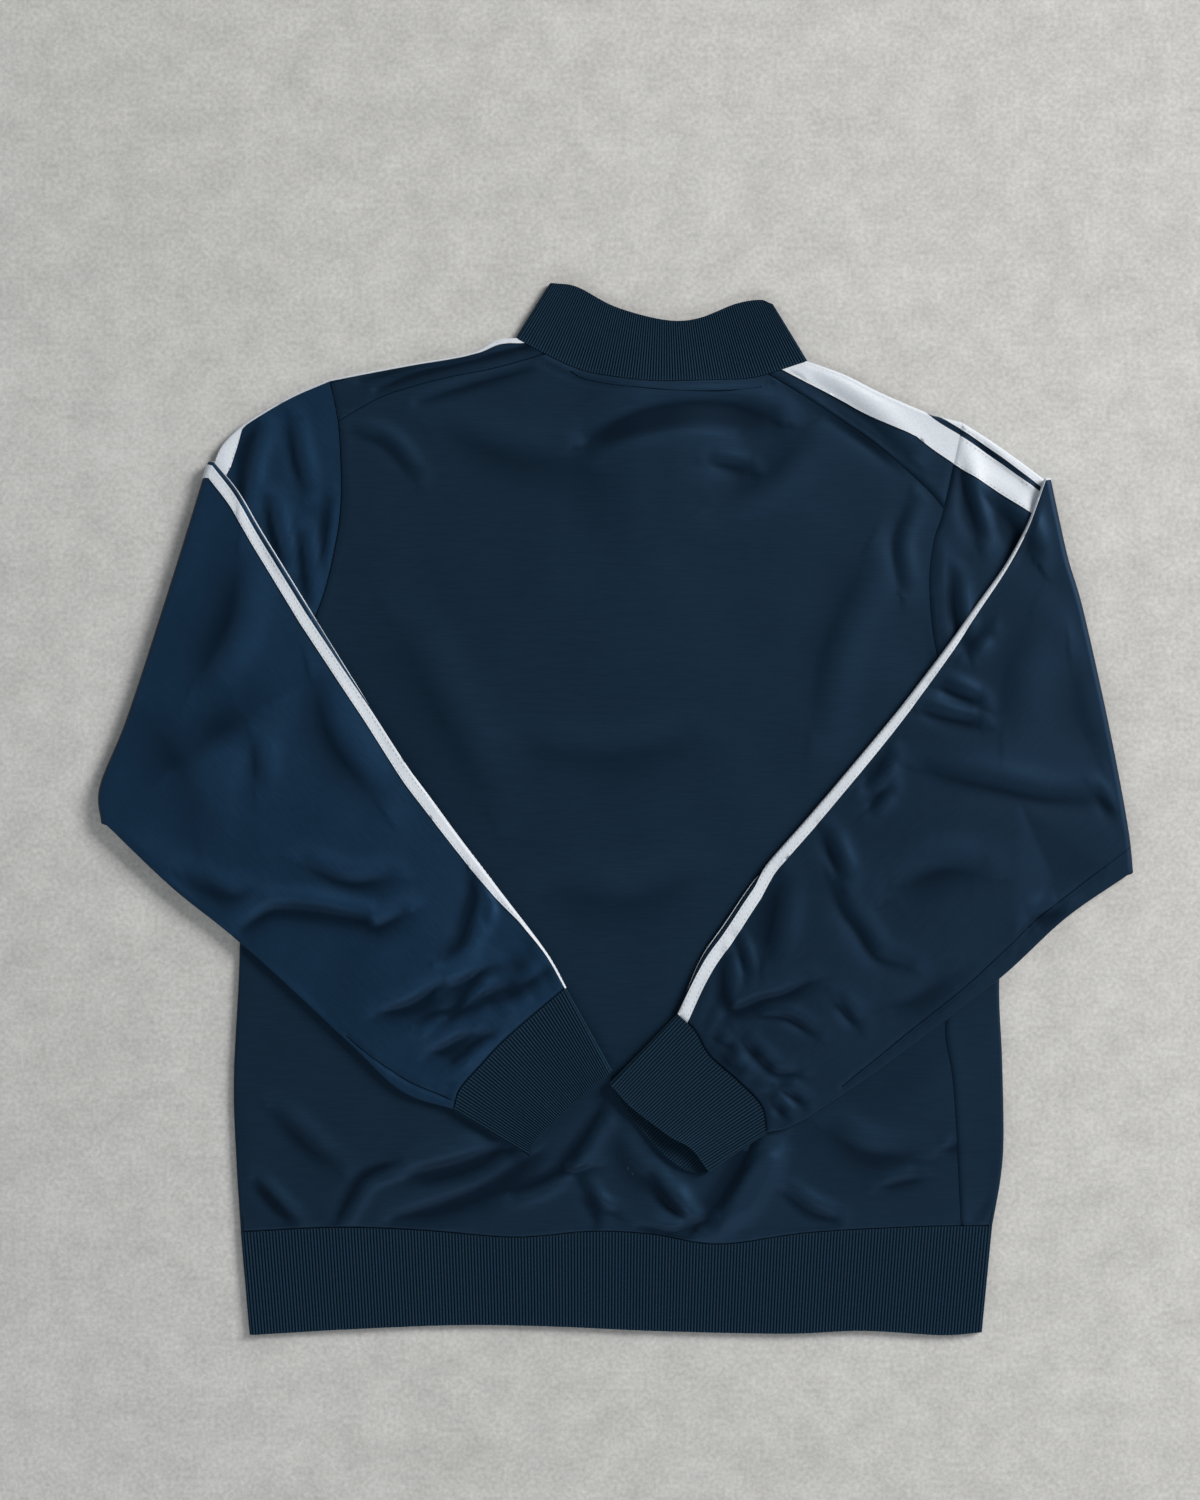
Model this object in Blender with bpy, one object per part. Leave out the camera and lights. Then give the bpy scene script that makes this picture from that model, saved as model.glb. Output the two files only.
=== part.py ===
"""Track jacket laid face down on a floor with both sleeves folded over its back.

Lengths are millimetres until mesh_object() scales them. Y runs towards the collar, Z up,
and the floor is Z = 0. The jacket lies on its front, so -X is the wearer's left side and
the back is the upper layer.
"""
import math
import bpy
import numpy as np

WALL = 1.2          # jersey of fronts, back, yokes and sleeves
RIB = 1.6           # rib of collar, cuffs and hem band
HALF = 2.2          # half the height of the flattened body tube
TURN_HALF = 1.8     # half the height of the sleeve tube where it is folded over
TURN_R = 5.0        # radius of the sleeve's centre line round its fold
TAPE_ROOM = 0.7     # yokes and sleeves lie this far off the floor, on the stripes' edges
ORIGIN = (2.83, -0.60)   # the outline's middle, which becomes the row's origin
SEAM = 0.15         # each piece stops this far short of the seam line
ZIP_GAP = 2.9       # from the zip's centre line to each front's edge
SLIDER_LIFT = 3.2   # the fronts ride this high over the slider and pull tab
ARMPIT_CUT = 5.0    # side folds stop this far below the armpit

# Outlines in mm, columns (x, y), each from left to right or from the collar's end down.
HEM_SEAM = [(-260, -296), (-193, -293), (-134, -295), (-69, -300), (-15, -296), (27, -298), (74, -305), (137, -297), (211, -293), (265, -292)]
HEM_EDGE = [(-254, -368), (-185, -364), (-108, -361), (-41, -362), (27, -365), (119, -367), (174, -365), (229, -368), (258, -366)]
SIDE_LEFT = [(-261, 44), (-262, -29), (-261, -103), (-265, -190), (-263, -250), (-260, -296)]
SIDE_RIGHT = [(278, 13), (274, -50), (270, -122), (272, -176), (273, -229), (271, -258), (265, -292)]
SEAM_RIGHT = [(274, 11), (258, -70), (236, -118), (232, -154), (237, -188), (240, -229), (243, -291)]
SEAM_LEFT = [(-257, 42), (-243, -60), (-231, -130), (-230, -190), (-229, -250), (-228, -294)]
ARM_LEFT = [(-198, 299), (-192, 270), (-190, 238), (-190, 215), (-193, 189), (-204, 144), (-228, 94), (-261, 44)]
ARM_RIGHT = [(244, 269), (231, 209), (224, 186), (221, 153), (227, 104), (247, 55), (278, 13)]
YOKE_LEFT = [(-191, 270), (-163, 286), (-140, 294), (-113, 301), (-83, 307), (-47, 317)]
YOKE_RIGHT = [(108, 303), (130, 290), (162, 269), (185, 253), (217, 225), (231, 209)]
NECK_BACK = [(-68, 328), (-47, 317), (-25, 307), (-5, 302), (26, 298), (51, 298), (76, 299), (94, 300), (108, 303), (136, 312)]
NECK_FRONT = [(-68, 328), (-62, 292), (-42, 252), (-8, 220), (28, 209), (64, 216), (100, 242), (124, 276), (136, 312)]
COLLAR_BACK = [(-44, 367), (-25, 364), (2, 350), (36, 341), (59, 342), (85, 352), (102, 355), (112, 352)]
COLLAR_FRONT = [(-44, 367), (-30, 322), (-6, 286), (31, 268), (66, 281), (96, 314), (112, 352)]
SHOULDER_LEFT = [(-68, 328), (-83, 326), (-101, 317), (-140, 310), (-167, 305), (-198, 299)]
SHOULDER_RIGHT = [(136, 312), (162, 302), (188, 289), (222, 275), (244, 269)]
OVER_LEFT = [(-198, 299), (-226, 289), (-254, 275), (-267, 266), (-276, 257), (-281, 246)]
OVER_RIGHT = [(244, 269), (261, 260), (275, 252), (288, 244), (302, 235)]
UNDER_LEFT = [(-261, 44), (-300, 20), (-354, -14)]
UNDER_RIGHT = [(278, 13), (316, -16), (362, -46)]
FOLD_LEFT = [(-282, 243), (-306, 165), (-338, 66), (-358, 15), (-357, -13)]
FOLD_RIGHT = [(305, 231), (312, 198), (318, 172), (328, 138), (346, 57), (359, -12), (363, -47)]
INNER_LEFT = [(-281, 243), (-264, 222), (-248, 195), (-222, 153), (-196, 111), (-169, 69), (-142, 27), (-112, -15), (-80, -57), (-48, -99), (-33, -125)]
OUTER_LEFT = [(-356, -14), (-310, -57), (-261, -96), (-188, -162), (-149, -197), (-111, -210)]
INNER_RIGHT = [(303, 234), (295, 212), (289, 198), (275, 173), (255, 145), (236, 118), (215, 90), (193, 62), (142, 1), (104, -43), (79, -79), (61, -106), (45, -143)]
OUTER_RIGHT = [(363, -48), (319, -78), (272, -120), (201, -173), (152, -206), (124, -222), (107, -226)]
CUFF_SEAM_LEFT = [(-33, -125), (-45, -135), (-75, -161), (-91, -178), (-106, -195), (-111, -210)]
CUFF_END_LEFT = [(-1, -183), (-19, -198), (-36, -213), (-54, -230), (-58, -242)]
CUFF_SEAM_RIGHT = [(45, -143), (57, -155), (67, -172), (87, -190), (103, -207), (107, -226)]
CUFF_END_RIGHT = [(-2, -192), (13, -211), (39, -231), (57, -241), (68, -255)]

# Stripe track: how far round the tube the navy line between the two stripes lies from
# the shoulder fold, towards the front. Rows are (share of the length, distance in mm).
TRACK_YOKE_LEFT = [(0.0, 12.0), (0.25, 17.5), (1.0, 18.0)]
TRACK_YOKE_RIGHT = [(0.0, 0.0), (0.35, 1.5), (0.76, 1.0), (0.9, -4.0), (1.0, -7.5)]
TRACK_LEFT = [(0.0, 18.0), (0.148, 17.0), (0.158, 9.0), (0.166, 3.0), (0.205, 2.8), (0.22, 1.6), (0.26, 1.8), (0.32, 3.1), (0.46, 3.0), (0.52, 1.4), (0.60, 0.2), (0.69, -0.2), (0.73, -1.5), (0.773, -2.4), (0.817, -3.2), (0.861, -4.4), (0.903, -7.6), (0.95, -8.7), (1.0, -9.0)]
TRACK_RIGHT = [(0.0, -7.5), (0.1, -9.0), (0.2, -10.8), (0.23, -9.8), (0.26, -8.6), (0.30, -8.4), (0.366, -7.2), (0.42, -5.6), (0.476, -3.9), (0.534, -3.0), (0.593, -2.2), (0.65, -1.9), (0.80, -1.7), (0.83, 1.8), (0.90, 2.2), (0.94, 1.4), (1.0, -0.6)]
# How far the stripes' bias widens them round the tube, by the share of the length.
BIAS_YOKE_LEFT = [(0.0, 1.0), (1.0, 1.0)]
BIAS_YOKE_RIGHT = [(0.0, 1.0), (0.7, 1.0), (1.0, 1.14)]
BIAS_LEFT = [(0.0, 1.0), (0.15, 1.0), (0.166, 1.7), (0.20, 1.8), (0.215, 1.4), (0.26, 1.0), (1.0, 1.0)]
BIAS_RIGHT = [(0.0, 1.14), (0.1, 1.2), (0.2, 1.23), (0.26, 1.0), (1.0, 1.0)]
MATERIALS = {         # name: (colour, roughness, metallic)
    "navy_jersey": ((0.0078, 0.0196, 0.0375, 1), 0.55, 0.0),
    "navy_rib": ((0.0072, 0.0165, 0.0300, 1), 0.80, 0.0),
    "white_tape": ((0.72, 0.74, 0.77, 1), 0.60, 0.0),
    "zip_tape": ((0.0080, 0.0170, 0.0320, 1), 0.70, 0.0),
    "zip_metal": ((0.0120, 0.0200, 0.0350, 1), 0.35, 0.6),
}
RIBBED = ("collar", "hem_band", "cuff_left", "cuff_right")

NARROW = 9.0        # narrow stripe, on the front side of the navy line
WIDE = 18.0         # wide stripe, on its back side
LINE = 3.6          # navy line between them
TAPE_LIFT = 0.12
TAPE_WALL = 0.5


def curve(points):
    """A smooth curve through the points, by the share of its length."""
    p = np.array(points, float)
    q = np.vstack([2 * p[0] - p[1], p, 2 * p[-1] - p[-2]])
    out = []
    for i in range(1, len(q) - 2):
        s = np.linspace(0, 1, 24, endpoint=False)[:, None]
        a, b, c, d = q[i - 1], q[i], q[i + 1], q[i + 2]
        out.append(0.5 * (2 * b + (c - a) * s + (2 * a - 5 * b + 4 * c - d) * s ** 2 + (3 * b - a - 3 * c + d) * s ** 3))
    out = np.vstack(out + [p[-1:]])
    length = np.r_[0, np.cumsum(np.linalg.norm(np.diff(out, axis=0), axis=1))]
    length /= length[-1]
    return lambda t: np.stack([np.interp(t, length, out[:, k]) for k in range(p.shape[1])], -1)


def table(rows, t):
    rows = np.array(rows)
    return np.interp(t, rows[:, 0], rows[:, 1])


def smooth(lo, hi, x):
    t = np.clip((x - lo) / (hi - lo), 0, 1)
    return t * t * (3 - 2 * t)


def inset(points, by, toward):
    """The outline moved sideways, towards a place inside it."""
    p = np.array(points, float)
    d = np.gradient(p, axis=0)
    d /= np.linalg.norm(d, axis=1)[:, None]
    side = np.stack([-d[:, 1], d[:, 0]], -1)
    mid = len(p) // 2
    if np.dot(side[mid], np.array(toward) - p[mid]) < 0:
        side = -side
    return p + by * side


def ends_in(points, first, last):
    """The outline with its two ends moved along it."""
    p = np.array(points, float)
    p[0] += unit(p[1] - p[0]) * first
    p[-1] += unit(p[-2] - p[-1]) * last
    return p


def nearest(line, place):
    """The share of the curve's length at which it passes a place."""
    t = np.linspace(0, 1, 2001)
    return float(t[np.argmin(np.linalg.norm(line(t) - np.array(place), axis=1))])


def pinned(line, first, last):
    """The points shifted so that their ends are where they are wanted."""
    t = np.linspace(0, 1, len(line))[:, None]
    return line + (1 - t) * (first - line[0]) + t * (last - line[-1])


def zip_x(y):
    return 2.5 + 0.0491 * (y + 296)


def lift(x, y):
    """How far the front layer is raised over the slider and pull tab."""
    near = 1 - smooth(9, 40, np.abs(x - zip_x(y)))
    along = smooth(196, 228, y) * (1 - smooth(282, 330, y))
    return SLIDER_LIFT * near * along


def top_of(x, y):
    """Height of the back layer's outside over the floor."""
    near = 1 - smooth(10, 62, np.abs(x - zip_x(y)))
    along = smooth(170, 232, y) * (1 - smooth(290, 345, y))
    return 2 * HALF + 4.6 * near * along


class Cloth:
    """A sheet of points, each with the direction out of it, a tag and its faces."""

    def __init__(self):
        self.p, self.n, self.w, self.u, self.faces, self.key = [], [], [], [], [], {}

    def point(self, key, p, n, w=0.0, u=0.0):
        if key is not None and key in self.key:
            return self.key[key]
        self.p.append(np.array(p, float))
        self.n.append(np.array(n, float) / np.linalg.norm(n))
        self.w.append(float(w))
        self.u.append(float(u))
        if key is not None:
            self.key[key] = len(self.p) - 1
        return len(self.p) - 1


def coons(bottom, top, left, right):
    """Plan points between four edges; bottom and top run along columns."""
    rows, cols = len(left), len(bottom)
    s = np.linspace(0, 1, cols)[None, :, None]
    t = np.linspace(0, 1, rows)[:, None, None]
    side = (1 - s) * left[:, None] + s * right[:, None]
    ends = (1 - t) * bottom[None] + t * top[None]
    both = (1 - s) * (1 - t) * bottom[0] + s * (1 - t) * bottom[-1] + (1 - s) * t * top[0] + s * t * top[-1]
    return side + ends - both


def faced(p, n, f):
    """The triangle, turned so that it looks the way its points do."""
    normal = np.cross(p[f[1]] - p[f[0]], p[f[2]] - p[f[0]])
    return f if np.dot(normal, sum(n[i] for i in f)) >= 0 else f[::-1]


def edges_of(faces):
    count = {}
    for f in faces:
        for a, b in zip(f, f[1:] + f[:1]):
            count.setdefault((min(a, b), max(a, b)), []).append((a, b))
    return [v[0] for v in count.values() if len(v) == 1]


def trimmed(p, n, faces, by):
    """Moves the free edges inwards by the seam's share."""
    move = {}
    for a, b in edges_of(faces):
        d = p[b] - p[a]
        for k in (a, b):
            side = np.cross(n[k], d)
            size = np.linalg.norm(side)
            if size > 1e-9:
                move.setdefault(k, []).append(side / size)
    p = p.copy()
    for k, sides in move.items():
        s = sum(sides)
        size = np.linalg.norm(s)
        if size > 0.3:
            s /= size
            p[k] += s * by / max(0.5, abs(float(np.dot(s, sides[0]))))
    return p


def shell(name, cloth, wall, outer=0.0, trim=SEAM):
    """The closed wall under the cloth's outside (or standing off it, if outer is set)."""
    p, n = np.array(cloth.p), np.array(cloth.n)
    faces = [faced(p, n, f) for f in triangles(cloth.faces)]
    used = sorted({i for f in faces for i in f})
    again = {k: i for i, k in enumerate(used)}
    p, n = p[used], n[used]
    faces = [tuple(again[i] for i in f) for f in faces]
    p = trimmed(p, n, faces, trim)
    count = len(p)
    points = np.vstack([p + n * outer, p + n * (outer - wall)])
    out = list(faces) + [tuple(i + count for i in f[::-1]) for f in faces]
    for a, b in edges_of(faces):
        out.append((b, a, a + count, b + count))
    return mesh_object(name, points, out)


def material_for(name):
    key = "navy_jersey"
    if name.startswith("stripe"):
        key = "white_tape"
    elif name.startswith("zip_side"):
        key = "zip_tape"
    elif name.startswith("zip"):
        key = "zip_metal"
    elif name in RIBBED:
        key = "navy_rib"
    made = bpy.data.materials.get(key)
    if made is None:
        made = bpy.data.materials.new(key)
        made.use_nodes = True
        shader = made.node_tree.nodes["Principled BSDF"]
        colour, roughness, metallic = MATERIALS[key]
        shader.inputs["Base Color"].default_value = colour
        shader.inputs["Roughness"].default_value = roughness
        shader.inputs["Metallic"].default_value = metallic
    return made


def mesh_object(name, points, faces):
    mesh = bpy.data.meshes.new(name)
    mesh.materials.append(material_for(name))
    points = (np.array(points) - (ORIGIN[0], ORIGIN[1], 0)) / 1000
    mesh.from_pydata([tuple(map(float, q)) for q in points], [], [tuple(int(i) for i in f) for f in faces])
    mesh.update()
    obj = bpy.data.objects.new(name, mesh)
    bpy.context.scene.collection.objects.link(obj)
    return obj


def softened(obj, width):
    """Small round-overs on a hard piece's edges."""
    bevel = obj.modifiers.new("round", "BEVEL")
    bevel.width, bevel.segments = width / 1000, 1
    bevel.limit_method, bevel.angle_limit = "ANGLE", math.radians(40)


def hang_from(obj, place, parent):
    """Gives the object its origin at a place, and a parent, without moving its shape."""
    at = (np.array(place) - (ORIGIN[0], ORIGIN[1], 0)) / 1000
    for vertex in obj.data.vertices:
        vertex.co = [a - b for a, b in zip(vertex.co, at)]
    obj.location = at
    obj.parent = parent


def triangles(faces):
    out = []
    for f in faces:
        f = tuple(int(i) for i in f)
        out += [f[:3], (f[0], f[2], f[3])] if len(f) == 4 else [f]
    return out


def band_between(cloth, values, low, high):
    """The part of a cloth where each point's value lies between two limits."""
    tris = triangles(cloth.faces)
    p, n, val = list(cloth.p), list(cloth.n), list(values)
    for limit, keep in ((low, 1), (high, -1)):
        cut, made = [], {}
        for t in tris:
            inside = [keep * (val[i] - limit) >= 0 for i in t]
            if all(inside):
                cut.append(t)
                continue
            if not any(inside):
                continue
            poly = []
            for a, b, ia, ib in zip(t, t[1:] + t[:1], inside, inside[1:] + inside[:1]):
                if ia:
                    poly.append(a)
                if ia != ib:
                    key = (min(a, b), max(a, b))
                    if key not in made:
                        i, j = key
                        s = (limit - val[i]) / (val[j] - val[i])
                        s = min(max(s, 0.02), 0.98)
                        m = n[i] * (1 - s) + n[j] * s
                        p.append(p[i] * (1 - s) + p[j] * s)
                        n.append(m / np.linalg.norm(m))
                        val.append(limit)
                        made[key] = len(p) - 1
                    poly.append(made[key])
            for k in range(1, len(poly) - 1):
                cut.append((poly[0], poly[k], poly[k + 1]))
        tris = cut
    out = Cloth()
    out.p, out.n, out.faces = p, n, tris
    return out


def unit(v):
    return np.array(v, float) / np.linalg.norm(v)


def sleeve_stations(arm, over, under, fold_line, inner, outer, cuff_seam, counts):
    """The sleeve's middle surface in sections from the armhole to the cuff.

    It leaves the armhole, turns up over its fold line and comes back over the body. Each
    section has plan points from the shoulder's edge to the underarm's, their heights, half
    the tube's height, the direction that the jacket's back side faces, and a share.
    """
    v = np.linspace(0, 1, len(arm))
    mid = arm.mean(axis=0)
    over_c, under_c = curve(inset(over, TURN_HALF, mid)), curve(inset(under, TURN_HALF, mid))
    fold_c = curve(inset(fold_line, TURN_R + TURN_HALF, mid))
    inner_c, outer_c = curve(inset(inner, TURN_HALF, np.array(outer[len(outer) // 2]))), curve(inset(outer, TURN_HALF, np.array(inner[len(inner) // 2])))
    fold_pts = fold_c(0.01 + 0.98 * v)
    along = unit(fold_pts[-1] - fold_pts[0])
    out = np.array([-along[1], along[0]])
    if np.dot(out, fold_pts.mean(axis=0) - mid) < 0:
        out = -out
    up = np.array([0, 0, 1.0])

    def patch(first, last, edge_a, edge_b, t):
        a = edge_a(t) + (1 - t) * (first[0] - edge_a(0.0)) + t * (last[0] - edge_a(1.0))
        b = edge_b(t) + (1 - t) * (first[-1] - edge_b(0.0)) + t * (last[-1] - edge_b(1.0))
        line = (1 - t) * first + t * last
        s = v[:, None]
        return line + (1 - s) * (a - line[0]) + s * (b - line[-1])

    stations = []
    for k in range(counts[0]):
        t = k / counts[0]
        half = HALF - TAPE_ROOM / 2 + (TURN_HALF - HALF + TAPE_ROOM / 2) * t
        stations.append((patch(arm, fold_pts, over_c, under_c, t), TAPE_ROOM + half + 0 * v, half, up, 0.22 * t))
    for k in range(counts[1] + 1):
        a = math.pi * k / counts[1]
        z = TAPE_ROOM + TURN_HALF + TURN_R * (1 - math.cos(a))
        n = np.array([-out[0] * math.sin(a), -out[1] * math.sin(a), math.cos(a)])
        stations.append((fold_pts + out * TURN_R * math.sin(a), z + 0 * v, TURN_HALF, n, 0.22 + 0.04 * k / counts[1]))
    last = cuff_seam(v)
    for k in range(1, counts[2] + 1):
        t = k / counts[2]
        z = TAPE_ROOM + TURN_HALF + 2 * TURN_R + (2 * HALF + 0.9 - 2 * TURN_R - TAPE_ROOM) * smooth(0.0, 0.42, t)
        stations.append((patch(fold_pts, last, inner_c, outer_c, t), z + 0 * v, TURN_HALF, -up, 0.26 + 0.74 * t))
    return stations


def tube(stations, steps):
    """Points round each station: the side that n faces, the far edge, the other, the near edge."""
    cloth = Cloth()
    index = []
    for plan, z, half, n, u in stations:
        row = []
        centre = np.column_stack([plan, z])
        near = unit(np.r_[plan[0] - plan[1], 0])
        far = unit(np.r_[plan[-1] - plan[-2], 0])
        if abs(n[2]) < 0.999:
            near = unit(near - n * np.dot(near, n))
            far = unit(far - n * np.dot(far, n))
        run = np.r_[0, np.cumsum(np.linalg.norm(np.diff(plan, axis=0), axis=1))]
        quarter = math.pi / 2 * half
        for j in range(len(plan)):
            row.append(cloth.point(None, centre[j] + half * n, n, -(quarter + run[j]), u))
        for k in range(1, steps):
            a = math.pi / 2 - math.pi * k / steps
            d = far * math.cos(a) + n * math.sin(a)
            row.append(cloth.point(None, centre[-1] + half * d, d, 900.0 if a < 0 else -900.0, u))
        for j in range(len(plan) - 1, -1, -1):
            row.append(cloth.point(None, centre[j] - half * n, -n, quarter + run[j], u))
        for k in range(1, steps):
            a = -math.pi / 2 + math.pi * k / steps
            d = near * math.cos(a) + n * math.sin(a)
            row.append(cloth.point(None, centre[0] + half * d, d, -half * a, u))
        index.append(row)
    cloth.index = np.array(index)
    return cloth


def weld_grid(cloth, rows):
    """Adds the quads between rows of point numbers."""
    for r, q in zip(rows, rows[1:]):
        for i in range(len(r) - 1):
            cloth.faces.append((r[i], r[i + 1], q[i + 1], q[i]))


def laid_point(cloth, x, y, side, extra=0.0):
    """A point on the upper (+1) or lower (-1) outside of the flattened body."""
    height = top_of if side > 0 else lift
    e = 2.0
    gx = (height(x + e, y) - height(x - e, y)) / (2 * e)
    gy = (height(x, y + e) - height(x, y - e)) / (2 * e)
    key = (round(float(x), 3), round(float(y), 3), side)
    return cloth.point(key, (x, y, height(x, y) + extra), np.array([-gx, -gy, 1.0]) * side)


def laid(cloth, plan, side):
    rows = [[laid_point(cloth, x, y, side) for x, y in row] for row in plan]
    weld_grid(cloth, rows)
    return rows


def side_fold(cloth, line, out, first_side, steps, half=HALF):
    """Rows of points round a side fold, from one side's edge row to the other's.

    line holds plan points of the fold's inner line and out the directions away from it.
    """
    rows = []
    for k in range(steps + 1):
        a = math.pi / 2 - math.pi * k / steps
        if first_side < 0:
            a = -a
        row = []
        for (x, y), e in zip(line, out):
            if k in (0, steps):
                row.append(laid_point(cloth, x, y, 1 if a > 0 else -1))
                continue
            d = np.array([e[0] * math.cos(a), e[1] * math.cos(a), math.sin(a)])
            row.append(cloth.point(None, (x + half * d[0], y + half * d[1], half + half * d[2]), d))
        rows.append(row)
    weld_grid(cloth, rows)
    return rows


def outwards(line, inside):
    """Unit directions away from the inside, square to each point of a line."""
    d = np.gradient(np.array(line), axis=0)
    d /= np.linalg.norm(d, axis=1)[:, None]
    side = np.stack([-d[:, 1], d[:, 0]], -1)
    mid = len(line) // 2
    return side if np.dot(side[mid], np.array(line)[mid] - np.array(inside)) > 0 else -side


def measure(fine):
    """Every shared line of the jacket, as points that neighbouring pieces have in common."""
    m = {}
    inside = np.array([5.0, 20.0])
    yoke, neck, arm_low, low = 5 * fine, 8 * fine, 7 * fine, 5 * fine
    across = 2 * fine
    for name, arm, yoke_line, side, tip in (("left", ARM_LEFT, YOKE_LEFT, SIDE_LEFT, SHOULDER_LEFT), ("right", ARM_RIGHT, YOKE_RIGHT, SIDE_RIGHT, SHOULDER_RIGHT)):
        arm_c = curve(ends_in(arm, HALF, HALF))
        seam_end = yoke_line[0] if name == "left" else yoke_line[-1]
        t = nearest(arm_c, seam_end)
        v = np.r_[np.linspace(0, t, across + 1), np.linspace(t, 1, arm_low + 1)[1:]]
        m["arm_" + name] = arm_c(v)
        side_c = curve(inset(side, HALF, inside))
        top = nearest(side_c, np.array(side[0]) - (0, ARMPIT_CUT))
        t_rows = np.r_[0, top, np.linspace(top, 1, low + 1)[1:]]
        m["side_" + name] = pinned_at_start(side_c(t_rows), m["arm_" + name][-1])
    nb, nf = curve(ends_in(NECK_BACK, HALF, HALF)), curve(ends_in(NECK_FRONT, HALF, HALF))
    ta, tb = nearest(nb, YOKE_LEFT[-1]), nearest(nb, YOKE_RIGHT[0])
    m["neck_yoke_left"], m["neck_back"], m["neck_yoke_right"] = nb(np.linspace(0, ta, across + 1)), nb(np.linspace(ta, tb, neck + 1)), nb(np.linspace(tb, 1, across + 1))
    centre = nearest(nf, (zip_x(209), 209))
    fa, fb = nearest(nf, NECK_FRONT[1]), nearest(nf, (126, 278))
    m["front_yoke_left"], m["front_yoke_right"] = nf(np.linspace(0, fa, across + 1)), nf(np.linspace(fb, 1, across + 1))
    m["front_yoke_left"][0], m["front_yoke_right"][-1] = m["neck_yoke_left"][0], m["neck_yoke_right"][-1]
    m["front_left"], m["front_right"] = nf(np.linspace(fa, centre, yoke + 1)), nf(np.linspace(centre, fb, yoke + 1))
    m["yoke_left"] = pinned(curve(YOKE_LEFT)(np.linspace(0, 1, yoke + 1)), m["arm_left"][across], m["neck_yoke_left"][-1])
    m["yoke_right"] = pinned(curve(YOKE_RIGHT)(np.linspace(0, 1, yoke + 1)), m["neck_yoke_right"][0], m["arm_right"][across])
    s = np.linspace(0, 1, yoke + 1)[:, None]
    m["low_yoke_left"] = (1 - s) * m["arm_left"][across] + s * m["front_yoke_left"][-1]
    m["low_yoke_right"] = (1 - s) * m["front_yoke_right"][0] + s * m["arm_right"][across]
    m["tip_left"] = pinned(curve(inset(SHOULDER_LEFT, HALF, inside))(np.linspace(0, 1, yoke + 1)), m["neck_yoke_left"][0], m["arm_left"][0])
    m["tip_right"] = pinned(curve(inset(SHOULDER_RIGHT, HALF, inside))(np.linspace(0, 1, yoke + 1)), m["neck_yoke_right"][-1], m["arm_right"][0])
    for name in ("left", "right"):
        y = m["side_" + name][1:, 1]
        seam = curve(SEAM_LEFT if name == "left" else SEAM_RIGHT)(np.linspace(0, 1, 400))
        order = np.argsort(seam[:, 1])
        x = np.interp(y, seam[order, 1], seam[order, 0])
        m["seam_" + name] = np.column_stack([x, y])
    m["across"], m["fine"] = across, fine
    return m


def pinned_at_start(line, first):
    out = line.copy()
    out[0] = first
    return out


def fill(first, last, left, right):
    return coons(np.array(first), np.array(last), np.array(left), np.array(right))


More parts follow.
